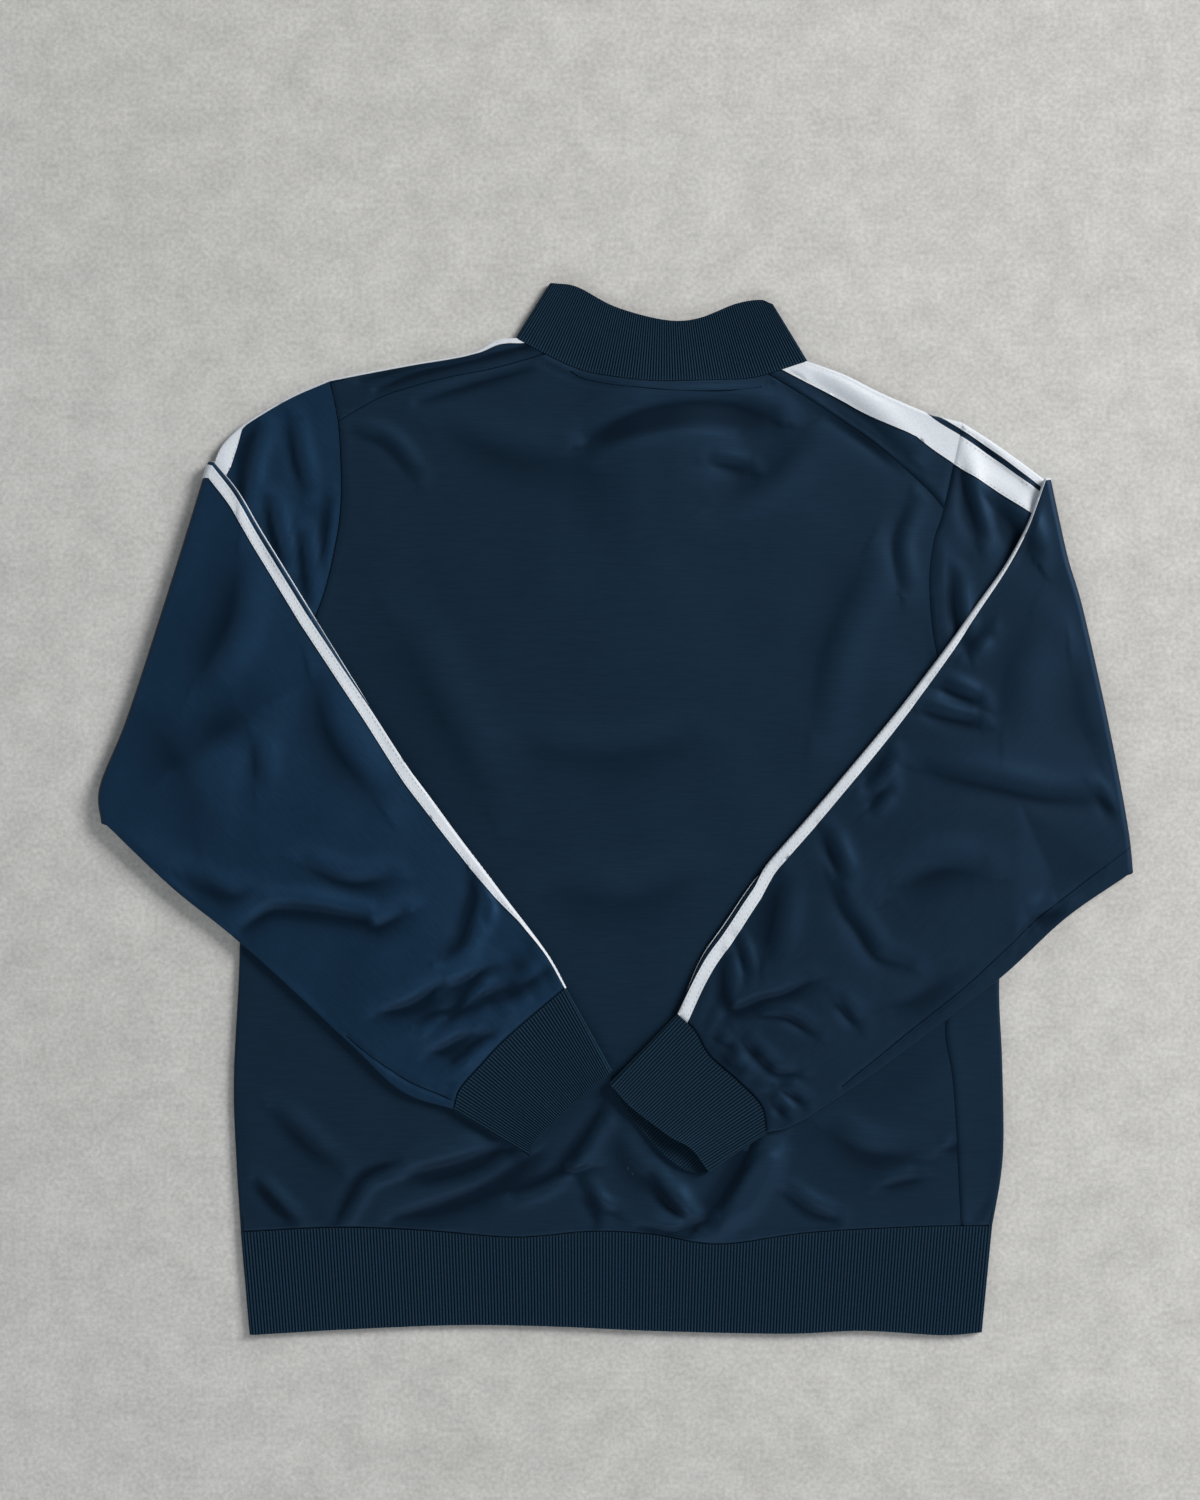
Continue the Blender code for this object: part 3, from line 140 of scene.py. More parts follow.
# Creases, as (depth, half width, roll, path). Troughs are negative. Only the roll's size counts: it lies
# on the side of the crease that faces the upper right. On the back, yokes and sleeves each trough also
# darkens the colour as painted shade, and each ridge lightens it as painted highlight.
BODY_CREASES = [
    (-2.0, 4.0, 1.1, [(-251, -261), (-238, -276), (-223, -290)]),
    (-2.3, 4.0, 1.2, [(-193, -290), (-185, -274), (-176, -259), (-166, -253), (-151, -248)]),
    (-2.8, 6.8, -1.5, [(-140, -257), (-107, -250), (-78, -239)]),
    (-2.3, 5.6, 1.1, [(-58, -244), (-84, -263), (-118, -277), (-150, -286)]),
    (-2.4, 4.4, 1.1, [(-8, -210), (-26, -238), (-45, -257), (-70, -268)]),
    (-2.2, 4.0, 0.9, [(24, -256), (36, -274), (54, -289)]),
    (-1.5, 4.0, 0.7, [(-24, -258), (-15, -276), (-11, -292)]),
    (-1.7, 3.6, 1.0, [(-42, -255), (-28, -254), (-15, -251)]),
    (-1.3, 3.6, 0.7, [(-20, -274), (-8, -280), (2, -284)]),
    (-2.8, 6.0, 2.0, [(99, -230), (90, -248), (82, -262), (64, -288)]),
    (-2.0, 3.6, -1.0, [(66, -288), (43, -297), (20, -293)]),
    (2.6, 7.2, 0.0, [(116, -240), (102, -264), (92, -284)]),
    (1.7, 6.3, 0.0, [(44, -262), (50, -274), (48, -288)]),
    (-1.8, 4.4, 1.0, [(119, -268), (136, -281), (154, -288)]),
    (-1.3, 3.6, 0.8, [(188, -266), (200, -262), (213, -259)]),
    (-1.5, 3.4, 0.9, [(245, -289), (254, -284), (262, -277)]),
    (-1.2, 3.4, -0.7, [(241, -234), (236, -238), (231, -240)]),
    (-1.3, 5.6, 0.7, [(-238, -212), (-214, -236), (-196, -250)]),
    (-1.1, 6.4, 0.6, [(0, -228), (10, -250), (28, -268)]),
    (-1.2, 7.2, -0.7, [(150, -226), (176, -242), (206, -244)]),
    (-2.8, 7.5, 1.2, [(-16, 257), (4, 267), (28, 275), (54, 279), (82, 279), (108, 272)]),
    (1.2, 6.0, 0.0, [(-10, 244), (10, 254), (32, 260), (56, 263), (80, 260)]),
    (-1.0, 4.5, -0.7, [(68, 240), (80, 238), (93, 235)]),
    (-0.8, 10.0, 0.4, [(-120, 262), (-76, 244), (-30, 236)]),
    (-0.8, 9.0, 0.4, [(128, 256), (104, 232), (70, 212)]),
    (-0.7, 10.0, 0.4, [(172, 170), (146, 110), (138, 58)]),
    (-0.6, 12.0, 0.4, [(-150, 120), (-120, 60), (-92, 6)]),
    (-0.6, 9.0, 0.3, [(-60, 40), (-6, 34), (52, 44)]),
    (-0.6, 10.0, 0.3, [(-40, -60), (8, -66), (50, -52)]),
    (-1.0, 4.5, 0.8, [(-182, 262), (-160, 254), (-140, 232)]),
    (-0.9, 5.0, 0.6, [(206, 214), (196, 186), (200, 154)]),
    (-2.0, 2.8, 0.6, [(-50, 325), (-82, 317), (-112, 310), (-140, 302), (-164, 292)]),
    (-1.6, 3.0, 0.6, [(-60, 306), (-86, 299), (-112, 291), (-136, 283)]),
    (-1.2, 3.4, 0.6, [(-122, 313), (-150, 306), (-176, 298)]),
    (-1.3, 6.5, 0.8, [(140, 296), (160, 283), (179, 269), (203, 248)]),
    (-0.8, 5.0, -0.5, [(150, 276), (176, 258), (198, 242)]),
    # Broad shallow troughs under the right sleeve and cuff, there mainly for their painted shadow of the sleeve on the
    # body.
    (-0.35, 14.0, 0.0, [(112, -240), (160, -220), (210, -182), (262, -138)]),
    (-0.30, 22.0, 0.0, [(132, -260), (170, -246), (214, -242), (252, -236)]),
]
UNDER_CREASES = [
    (-1.1, 8.0, 0, [(-210, -262), (-170, -230), (-120, -214)]),
    (-0.9, 7.0, 0, [(-190, -120), (-130, -96), (-70, -104)]),
    (-1.2, 10.0, 0, [(-200, 20), (-140, 60), (-70, 66)]),
    (-0.8, 7.0, 0, [(-160, 170), (-110, 200), (-64, 206)]),
    (-1.0, 9.0, 0, [(60, -250), (120, -222), (190, -236)]),
    (-0.9, 8.0, 0, [(70, -120), (140, -140), (220, -110)]),
    (-1.2, 10.0, 0, [(76, -10), (150, 36), (226, 30)]),
    (-0.9, 7.0, 0, [(90, 160), (150, 172), (196, 214)]),
    (-0.8, 6.0, 0, [(-60, -40), (-40, 20), (-52, 90)]),
]
LEFT_CREASES = [
    (-2.0, 5.0, 1.3, [(-249, 266), (-257, 244), (-260, 216)]),
    (-1.8, 4.5, 1.2, [(-241, 213), (-238, 194), (-232, 172)]),
    (-1.7, 4.5, -1.1, [(-219, 190), (-216, 168), (-213, 144)]),
    (-1.6, 4.5, 1.0, [(-198, 217), (-201, 190), (-205, 160)]),
    (-1.4, 4.5, -1.0, [(-226, 270), (-222, 244), (-216, 222)]),
    (-1.1, 12.0, 0.6, [(-255, 64), (-276, 52), (-296, 36)]),
    (-1.2, 6.0, 0.7, [(-251, 46), (-249, 34), (-248, 19)]),
    (-2.0, 5.5, 1.3, [(-258, -85), (-246, -76), (-235, -71), (-209, -72), (-177, -78), (-165, -83),
        (-146, -74)]),
    (-2.2, 5.0, 1.4, [(-118, -103), (-108, -95), (-103, -84), (-97, -62), (-99, -48)]),
    (-1.2, 3.2, 0.8, [(-91, -80), (-90, -74), (-88, -66)]),
    (-1.8, 4.5, 0.6, [(-114, -127), (-101, -120), (-86, -111)]),
    (-2.0, 5.0, 0.7, [(-162, -143), (-139, -136), (-118, -121)]),
    (-2.0, 4.5, -0.6, [(-126, -171), (-113, -165), (-100, -157)]),
    (-2.1, 4.5, 0.6, [(-135, -149), (-124, -143), (-112, -139), (-97, -122)]),
    (-2.2, 4.5, -0.7, [(-123, -153), (-106, -142), (-89, -131), (-66, -126), (-46, -113)]),
    (-1.7, 3.8, -0.5, [(-114, -179), (-105, -171), (-97, -164), (-84, -157)]),
    (-1.4, 6.0, 0.8, [(-214, -40), (-186, -52), (-156, -50)]),
    (-1.3, 9.0, 0.8, [(-208, 84), (-196, 46), (-168, 8)]),
    (-1.3, 7.0, 0.4, [(-84, -132), (-70, -120), (-60, -104)]),
    (-0.7, 12.0, 0.4, [(-322, 60), (-300, 24), (-290, -16)]),
    (-1.2, 9.0, -0.7, [(-262, 170), (-268, 130), (-288, 92)]),
    (-1.2, 6.0, 0.7, [(-298, -48), (-276, -60), (-252, -62)]),
]
RIGHT_CREASES = [
    (-2.2, 7.0, 0.9, [(267, 210), (279, 194), (290, 178)]),
    (-2.0, 5.0, 1.2, [(241, 238), (246, 214), (254, 190)]),
    (1.6, 5.0, 0.0, [(227, 190), (228, 170), (227, 150)]),
    (-1.5, 4.5, -1.0, [(258, 252), (268, 240), (282, 230)]),
    (-1.5, 4.5, 1.0, [(236, 160), (238, 134), (246, 112)]),
    (-1.4, 4.5, 0.8, [(258, 124), (252, 118), (246, 110)]),
    (-1.8, 4.5, 1.1, [(228, 84), (240, 78), (252, 73)]),
    (-1.7, 4.5, -1.0, [(215, 67), (232, 62), (252, 58)]),
    (-1.3, 7.0, 0.5, [(216, 26), (238, 19), (262, 14), (298, 6), (338, 4)]),
    (-1.2, 4.0, 0.8, [(335, 11), (341, 5), (348, -4)]),
    (-1.6, 4.5, 1.0, [(190, 37), (184, 27), (175, 17)]),
    (-1.5, 4.0, -0.8, [(190, 14), (184, 8), (177, 0)]),
    (-1.4, 5.0, 0.9, [(146, -18), (152, -34), (158, -48)]),
    (-1.4, 5.5, 0.5, [(152, -54), (159, -70), (169, -84), (182, -103), (202, -110)]),
    (-1.6, 7.0, 0.7, [(115, -52), (110, -76), (106, -100)]),
    (-1.3, 3.2, 0.7, [(85, -90), (89, -102), (92, -115)]),
    (-2.1, 4.5, 0.7, [(77, -104), (76, -122), (78, -136), (85, -141), (102, -134), (118, -130), (135, -121)]),
    (-1.6, 4.0, -0.5, [(100, -145), (120, -146), (139, -157)]),
    (-1.8, 4.2, 0.6, [(89, -160), (99, -172), (112, -184), (127, -185)]),
    (-1.4, 3.5, 0.4, [(68, -159), (79, -165), (84, -172)]),
    (-1.4, 3.5, -0.4, [(73, -170), (79, -176), (87, -183)]),
    (-1.6, 3.8, 0.5, [(117, -196), (124, -200), (132, -206)]),
    (-1.5, 3.8, 0.4, [(108, -200), (114, -208), (121, -216)]),
    (-1.6, 4.5, 0.5, [(154, -133), (161, -142), (169, -151)]),
    (-1.2, 8.0, 0.7, [(196, -60), (226, -44), (252, -46)]),
    (-0.5, 11.0, 0.2, [(286, 128), (272, 96), (270, 60)]),
    (-0.6, 11.0, 0.3, [(318, 96), (322, 64), (334, 40)]),
    (-1.3, 5.0, 0.8, [(292, -80), (300, -76), (312, -72)]),
    (-1.1, 7.0, 0.3, [(190, -138), (210, -134), (232, -118)]),
    # A broad shallow trough on the upper right sleeve, there mainly for its painted shade of the fold's shadow.
    (-0.40, 12.0, 0.0, [(266, 230), (252, 200), (245, 172), (242, 140)]),
]


def curve(points):
    """A smooth curve through the points, by the share of its length."""
    p = np.array(points, float)
    q = np.vstack([2 * p[0] - p[1], p, 2 * p[-1] - p[-2]])
    out = []
    for i in range(1, len(q) - 2):
        s = np.linspace(0, 1, 24, endpoint=False)[:, None]
        a, b, c, d = q[i - 1], q[i], q[i + 1], q[i + 2]
        bend, twist = 2 * a - 5 * b + 4 * c - d, 3 * b - a - 3 * c + d
        out.append(0.5 * (2 * b + (c - a) * s + bend * s ** 2 + twist * s ** 3))
    return along(np.vstack(out + [p[-1:]]))


def run_of(line):
    """The length of a polyline up to each of its points."""
    return np.r_[0, np.cumsum(np.linalg.norm(np.diff(line, axis=0), axis=1))]


def along(line):
    """A polyline, by the share of its length."""
    line = np.array(line, float)
    length = run_of(line)
    length /= length[-1]
    return lambda t: columns(t, length, line)


def columns(t, known, values):
    """Each column of the values, interpolated."""
    return np.stack([np.interp(t, known, values[:, k]) for k in range(values.shape[1])], -1)


def length_of(line):
    return float(np.linalg.norm(np.diff(line, axis=0), axis=1).sum())


def table(rows, t):
    rows = np.array(rows)
    return np.interp(t, rows[:, 0], rows[:, 1])


def smooth(lo, hi, x):
    t = np.clip((x - lo) / (hi - lo), 0, 1)
    return t * t * (3 - 2 * t)


def unit(v):
    v = np.array(v, float)
    return v / np.linalg.norm(v, axis=-1, keepdims=True)


def inset(points, by, toward):
    """The outline moved sideways, towards a place inside it."""
    p = np.array(points, float)
    d = unit(np.gradient(p, axis=0))
    side = np.stack([-d[:, 1], d[:, 0]], -1)
    mid = len(p) // 2
    if np.dot(side[mid], np.array(toward) - p[mid]) < 0:
        side = -side
    return p + by * side


def ends_in(points, first, last):
    """The outline with its two ends moved along it."""
    p = np.array(points, float)
    p[0] += unit(p[1] - p[0]) * first
    p[-1] += unit(p[-2] - p[-1]) * last
    return p


def nearest(line, place):
    """The share of the curve's length at which it passes a place."""
    t = np.linspace(0, 1, 2001)
    return float(t[np.argmin(np.linalg.norm(line(t) - np.array(place), axis=1))])


def pinned(line, first, last):
    """The points shifted so that their ends are where they are wanted."""
    t = np.linspace(0, 1, len(line))[:, None]
    return line + (1 - t) * (first - line[0]) + t * (last - line[-1])


def graded(length, step, close=(0.35, 0.8, 1.5)):
    """Shares of a length about a step apart, and closer at both ends for the seams."""
    n = max(2, int(round(length / step)))
    near = [c / length for c in close if c < 0.8 * length / n]
    return np.array(sorted({0.0, 1.0, *near, *[1 - c for c in near], *[i / n for i in range(1, n)]}))


def zip_x(y):
    return 2.5 + 0.0491 * (y + 296)


def lift(x, y):
    """How far the front layer is raised over the slider and pull tab."""
    near = 1 - smooth(9, 40, np.abs(x - zip_x(y)))
    return SLIDER_LIFT * near * smooth(196, 228, y) * (1 - smooth(282, 330, y))


def top_of(x, y):
    """Height of the back layer's outside over the floor."""
    near = 1 - smooth(10, 62, np.abs(x - zip_x(y)))
    return 2 * HALF + 3.7 * near * smooth(170, 232, y) * (1 - smooth(290, 345, y))


# ---------------------------------------------------------------- creases

CREASE_DEPTH, CREASE_ROLL = 2.1, 2.2    # mm for each unit of a crease's depth and of its roll
STEEP_TO = (0.85, 0.52)                 # the way every crease's steep side faces


def distance(xy, line):
    """Each point's distance to a polyline, its side of it (+1 left) and its share along it."""
    best, side, share = np.full(len(xy), 1e9), np.zeros(len(xy)), np.zeros(len(xy))
    run = run_of(line)
    for i in range(len(line) - 1):
        a, d = line[i], line[i + 1] - line[i]
        size = max(float(np.dot(d, d)), 1e-9)
        t = np.clip(((xy - a) @ d) / size, 0, 1)
        off = xy - a - t[:, None] * d
        far = np.hypot(off[:, 0], off[:, 1])
        nearer = far < best
        best[nearer] = far[nearer]
        side[nearer] = np.sign(d[0] * off[nearer, 1] - d[1] * off[nearer, 0])
        share[nearer] = (run[i] + t[nearer] * math.sqrt(size)) / run[-1]
    return best, side, share


def creases(xy, rows):
    """Height of soft troughs (negative) and ridges, each with a steeper roll of cloth on one side."""
    shape = xy.shape[:-1]
    xy = xy.reshape(-1, 2)
    total = np.zeros(len(xy))
    for depth, width, lip, path in rows:
        line = curve(path)(np.linspace(0, 1, 3 * len(path) + 3))
        reach = 5.5 * width
        near = np.all((xy > line.min(0) - reach) & (xy < line.max(0) + reach), axis=1)
        if not near.any():
            continue
        d, side, share = distance(xy[near], line)
        run = line[-1] - line[0]
        steep = side * np.sign(run[0] * STEEP_TO[1] - run[1] * STEEP_TO[0] + 1e-9) > 0
        wide = 1.3 + 0.6 * smooth(4.0, 9.0, width)
        body = CREASE_DEPTH * depth * np.exp(-(d / (width * np.where(steep, 0.85, wide))) ** 1.6)
        roll = CREASE_ROLL * abs(lip) * np.exp(-((d - 1.8 * width) / (1.2 * width)) ** 2) * steep
        ends = np.sin(math.pi * np.clip(0.06 + 0.88 * share, 0, 1)) ** 0.6
        total[near] += (body + roll) * ends
    return total.reshape(shape)


def waves(xy, seed, size, shortest, longest, count=26):
    """Gentle unevenness from a seeded sum of plane waves."""
    random = np.random.default_rng(seed)
    total = np.zeros(xy.shape[:-1])
    for _ in range(count):
        angle, phase = random.uniform(0, math.pi), random.uniform(0, 2 * math.pi)
        length = math.exp(random.uniform(math.log(shortest), math.log(longest)))
        k = 2 * math.pi / length
        across = xy[..., 0] * math.cos(angle) + xy[..., 1] * math.sin(angle)
        total += length / longest * np.sin(k * across + phase)
    return size * total / math.sqrt(count / 2)


def inside_depth(xy, outline):
    """Signed distance into a closed outline: positive inside."""
    shape = xy.shape[:-1]
    p = xy.reshape(-1, 2)
    closed = np.vstack([outline, outline[:1]])
    d, _, _ = distance(p, closed)
    within = np.zeros(len(p), bool)
    for a, b in zip(closed, closed[1:]):
        crosses = (a[1] > p[:, 1]) != (b[1] > p[:, 1])
        with np.errstate(divide="ignore", invalid="ignore"):
            x = a[0] + (p[:, 1] - a[1]) / (b[1] - a[1]) * (b[0] - a[0])
        within ^= crosses & (p[:, 0] < x)
    return np.where(within, d, -d).reshape(shape)


# ---------------------------------------------------------------- cloth

class Cloth:
    """A sheet of outside points, the direction out of each, its tags and its quads."""

    def __init__(self):
        self.parts, self.quads, self.count = [], [], 0

    def add(self, p, n, w=None, u=None, ring=False):
        rows, cols = p.shape[:2]
        w = np.zeros((rows, cols)) if w is None else w
        u = np.zeros((rows, cols)) if u is None else u
        n = np.broadcast_to(n, p.shape)
        self.parts.append(np.concatenate([p, n, w[..., None], u[..., None]], -1).reshape(-1, 8))
        index = self.count + np.arange(rows * cols).reshape(rows, cols)
        self.count += rows * cols
        if ring:
            index = np.hstack([index, index[:, :1]])
        q = np.stack([index[:-1, :-1], index[:-1, 1:], index[1:, 1:], index[1:, :-1]], -1)
        self.quads.append(q.reshape(-1, 4))

    def welded(self):
        """(points, directions, w, u, quads) with coincident points made one."""
        data, quads = np.vstack(self.parts), np.vstack(self.quads)
        _, first, index = np.unique(np.round(data[:, :3], 3), axis=0, return_index=True, return_inverse=True)
        index = index.reshape(-1)
        normal = np.zeros((len(first), 3))
        np.add.at(normal, index, data[:, 3:6])
        quads = index[quads]
        p = data[first, :3]
        keep = np.array([len(set(q)) == 4 for q in quads])
        quads = quads[keep]
        n = unit(normal)
        across = np.cross(p[quads[:, 2]] - p[quads[:, 0]], p[quads[:, 3]] - p[quads[:, 1]])
        wrong = np.einsum("ij,ij->i", across, n[quads].sum(1)) < 0
        quads[wrong] = quads[wrong][:, ::-1]
        return p, n, data[first, 6], data[first, 7], quads


def free_edges(faces):
    """The directed edges that only one face has."""
    k = faces.shape[1]
    ends = np.concatenate([faces[:, [i, (i + 1) % k]] for i in range(k)])
    key = np.sort(ends, axis=1)
    _, first, uses = np.unique(key, axis=0, return_index=True, return_counts=True)
    return ends[first[uses == 1]]


def crisp(mesh, edges):
    """Keeps the shading of a cloth's face and of its cut edge apart."""
    ends = np.empty(len(mesh.edges) * 2, np.int64)
    mesh.edges.foreach_get("vertices", ends)
    ends, edges = np.sort(ends.reshape(-1, 2), axis=1), np.sort(edges, axis=1)
    size = len(mesh.vertices)
    hard = np.isin(ends[:, 0] * size + ends[:, 1], edges[:, 0] * size + edges[:, 1])
    mesh.attributes.new("sharp_edge", "BOOLEAN", "EDGE").data.foreach_set("value", hard)


def shell(name, p, n, faces, wall, material, replaces, trim=SEAM_GAP, outer=0.0, valley=None):
    """The closed wall under the cloth's outside, with its free edges drawn in from the seam."""
    used = np.unique(faces)
    again = np.full(len(p), -1)
    again[used] = np.arange(len(used))
    p, n, faces = p[used].copy(), n[used], again[faces]
    edges = free_edges(faces)
    side = np.zeros_like(p)
    d = p[edges[:, 1]] - p[edges[:, 0]]
    for k in (0, 1):
        s = np.cross(n[edges[:, k]], d)
        s /= np.maximum(np.linalg.norm(s, axis=1), 1e-9)[:, None]
        np.add.at(side, edges[:, k], s)
    size = np.linalg.norm(side, axis=1)
    move = size > 0.3
    p[move] += side[move] / size[move][:, None] * trim
    count = len(p)
    points = np.vstack([p + n * outer, p + n * (outer - wall)])
    rim = np.column_stack([edges[:, 1], edges[:, 0], edges[:, 0] + count, edges[:, 1] + count])
    polys = [faces, faces[:, ::-1] + count]
    obj = mesh_object(name, points, [tuple(f) for part in polys + [rim] for f in part.tolist()])
    crisp(obj.data, np.vstack([edges, edges + count]))
    # The valley tag carries painted shade and painted highlight into the material's colour.
    if valley is not None:
        tag = obj.data.attributes.new("valley", "FLOAT", "POINT")
        tag.data.foreach_set("value", np.tile(valley[used], 2).astype(np.float32))
    dressed(obj, material)
    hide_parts(replaces)
    return obj


def dressed(obj, material):
    """A mesh on the jacket's body, with its material."""
    obj.data.materials.append(bpy.data.materials[material])
    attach(obj, "jacket")
    return obj


def mesh_object(name, points, faces):
    mesh = bpy.data.meshes.new(name)
    mesh.from_pydata(((np.array(points) - (ORIGIN[0], ORIGIN[1], 0)) / 1000).tolist(), [], faces)
    mesh.update()
    mesh.shade_smooth()
    obj = bpy.data.objects.new(name, mesh)
    bpy.context.scene.collection.objects.link(obj)
    return obj


def band_between(p, n, quads, values, low, high):
    """The part of a cloth where each point's value lies between two limits, as triangles."""
    tris = np.vstack([quads[:, [0, 1, 2]], quads[:, [0, 2, 3]]])
    tri_values = values[tris]
    tris = tris[(tri_values.max(1) > low) & (tri_values.min(1) < high)].tolist()
    p, n, val = list(p), list(n), list(values)
    for limit, keep in ((low, 1), (high, -1)):
        cut, made = [], {}
        for t in tris:
            inside = [keep * (val[i] - limit) >= 0 for i in t]
            if all(inside):
                cut.append(tuple(t))
                continue
            if not any(inside):
                continue
            poly = []
            for a, b, ia, ib in zip(t, list(t[1:]) + [t[0]], inside, inside[1:] + inside[:1]):
                if ia:
                    poly.append(a)
                if ia != ib:
                    key = (min(a, b), max(a, b))
                    if key not in made:
                        i, j = key
                        s = min(max((limit - val[i]) / (val[j] - val[i]), 0.02), 0.98)
                        p.append(p[i] * (1 - s) + p[j] * s)
                        n.append(unit(n[i] * (1 - s) + n[j] * s))
                        val.append(limit)
                        made[key] = len(p) - 1
                    poly.append(made[key])
            for k in range(1, len(poly) - 1):
                cut.append((poly[0], poly[k], poly[k + 1]))
        tris = cut
    return np.array(p), np.array(n), np.array(tris)


def coons(bottom, top, left, right, s, t):
    """Plan points between four edges; bottom and top run along s, left and right along t."""
    s, t = s[None, :, None], t[:, None, None]
    side = (1 - s) * left[:, None] + s * right[:, None]
    ends = (1 - t) * bottom[None] + t * top[None]
    low = (1 - s) * (1 - t) * bottom[0] + s * (1 - t) * bottom[-1]
    return side + ends - (low + (1 - s) * t * top[0] + s * t * top[-1])


def laid(cloth, plan, side, bump=None, extra=0.0, w=None, u=None):
    """Adds plan points on the upper (+1) or lower (-1) outside of the flattened body."""
    height = top_of if side > 0 else lift

    def z(xy):
        out = height(xy[..., 0], xy[..., 1]) + extra
        return out + bump(xy) if bump else out

    e = 1.0
    gx = (z(plan + (e, 0)) - z(plan - (e, 0))) / (2 * e)
    gy = (z(plan + (0, e)) - z(plan - (0, e))) / (2 * e)
    n = unit(np.stack([-gx, -gy, np.ones_like(gx)], -1)) * side
    cloth.add(np.concatenate([plan, z(plan)[..., None]], -1), n, w, u)


def side_fold(cloth, line, out, half=HALF, base=0.0, u=0.0):
    """The half-round edge between the upper and lower layers along a line."""
    a = np.linspace(math.pi / 2, -math.pi / 2, BEND + 1)[:, None]
    x, y = out[None, :, 0], out[None, :, 1]
    d = np.stack([x * np.cos(a), y * np.cos(a), np.sin(a) + 0 * x], -1)
    middle = np.column_stack([line, np.full(len(line), base + half)])
    cloth.add(middle + half * d, d, np.broadcast_to(-half * a, d.shape[:2]), np.broadcast_to(u, d.shape[:2]))


def outwards(line, inside):
    d = unit(np.gradient(line, axis=0))
    side = np.stack([-d[:, 1], d[:, 0]], -1)
    mid = len(line) // 2
    return side if np.dot(side[mid], line[mid] - np.array(inside)) > 0 else -side


# ---------------------------------------------------------------- shared lines

DENSE = np.linspace(0, 1, 161)
INSIDE = (5.0, 20.0)


def at(line, t):
    return along(line)(t)


def shared_lines():
    """Every line that pieces have in common, as dense plan points."""
    m = {}
    for name, o in OUTLINES.items():
        arm_c = curve(ends_in(o["arm"], HALF, HALF))
        t = nearest(arm_c, o["yoke"][0 if name == "left" else -1])
        m["arm_" + name], m["arm_up_" + name] = arm_c(DENSE), arm_c(t * DENSE)
        m["arm_low_" + name] = arm_c(t + (1 - t) * DENSE)
        side_c = curve(inset(o["side"], HALF, INSIDE))
        top = nearest(side_c, np.array(o["side"][0]) - (0, ARMPIT_CUT))
        m["fold_" + name] = side_c(top + (1 - top) * DENSE)
        m["side_" + name] = np.vstack([m["arm_" + name][-1:], m["fold_" + name]])
        m["seam_" + name] = at_heights(curve(o["seam"])(np.linspace(0, 1, 400)), m["fold_" + name][:, 1])
    left, right = OUTLINES["left"], OUTLINES["right"]
    nb, nf = curve(ends_in(NECK_BACK, HALF, HALF)), curve(ends_in(NECK_FRONT, HALF, HALF))
    ta, tb = nearest(nb, left["yoke"][-1]), nearest(nb, right["yoke"][0])
    m["neck_yoke_left"], m["neck_back"] = nb(ta * DENSE), nb(ta + (tb - ta) * DENSE)
    m["neck_yoke_right"] = nb(tb + (1 - tb) * DENSE)
    centre, fa, fb = nearest(nf, (zip_x(209), 209)), nearest(nf, NECK_FRONT[1]), nearest(nf, (126, 278))
    m["front_yoke_left"] = pinned(nf(fa * DENSE), m["neck_yoke_left"][0], nf(fa))
    m["front_yoke_right"] = pinned(nf(fb + (1 - fb) * DENSE), nf(fb), m["neck_yoke_right"][-1])
    m["front_left"] = nf(fa + (centre - fa) * DENSE)
    m["front_right"] = nf(centre + (fb - centre) * DENSE)
    m["yoke_left"] = pinned(curve(left["yoke"])(DENSE), m["arm_up_left"][-1], m["neck_yoke_left"][-1])
    m["yoke_right"] = pinned(curve(right["yoke"])(DENSE), m["neck_yoke_right"][0], m["arm_up_right"][-1])
    s = DENSE[:, None]
    m["low_yoke_left"] = (1 - s) * m["arm_up_left"][-1] + s * m["front_yoke_left"][-1]
    m["low_yoke_right"] = (1 - s) * m["front_yoke_right"][0] + s * m["arm_up_right"][-1]
    for name, collar_end in (("left", 0), ("right", -1)):
        tip = curve(inset(OUTLINES[name]["shoulder"], HALF, INSIDE))(DENSE)
        m["tip_" + name] = pinned(tip, m["neck_yoke_" + name][collar_end], m["arm_" + name][0])
    return m


def at_heights(line, y):
    """The points at which a line, run from its top down, passes each height."""
    order = np.argsort(line[:, 1])
    return np.column_stack([np.interp(y, line[order, 1], line[order, 0]), y])


M = shared_lines()
HEM_C = curve(HEM_SEAM)


def hem_between(first, last):
    t0, t1 = nearest(HEM_C, first), nearest(HEM_C, last)
    return pinned(HEM_C(t0 + (t1 - t0) * DENSE), first, last)


def spans(lines, step):
    """Shares along several lines joined end to end, with samples close to every joint."""
    sizes = [length_of(line) for line in lines]
    start, out = 0.0, []
    for size in sizes:
        out += list((start + graded(size, step) * size) / sum(sizes))
        start += size
    return np.unique(np.round(out, 9))


def joined(*lines):
    return np.vstack([lines[0]] + [line[1:] for line in lines[1:]])


# ---------------------------------------------------------------- relief

def groove(xy, *lines):
    """The valley of a seam, the pressed allowance beside it and its light pucker."""
    total = np.zeros(xy.shape[:-1])
    flat = xy.reshape(-1, 2)
    for line in lines:
        line = line[::4] if len(line) > 100 else line
        near = np.all((flat > line.min(0) - 12) & (flat < line.max(0) + 12), axis=1)
        d, _, share = distance(flat[near], line)
        run = share * length_of(line)
        pucker = 0.07 * np.sin(run / 1.9 + 1.3 * np.sin(run / 17)) * np.exp(-((d - 3) / 3.5) ** 2)
        valley, beside = -0.85 * np.exp(-(d / 1.3) ** 2), 0.16 * np.exp(-((d - 4.0) / 2.6) ** 2)
        total.reshape(-1)[near] += valley + beside + pucker
    return total


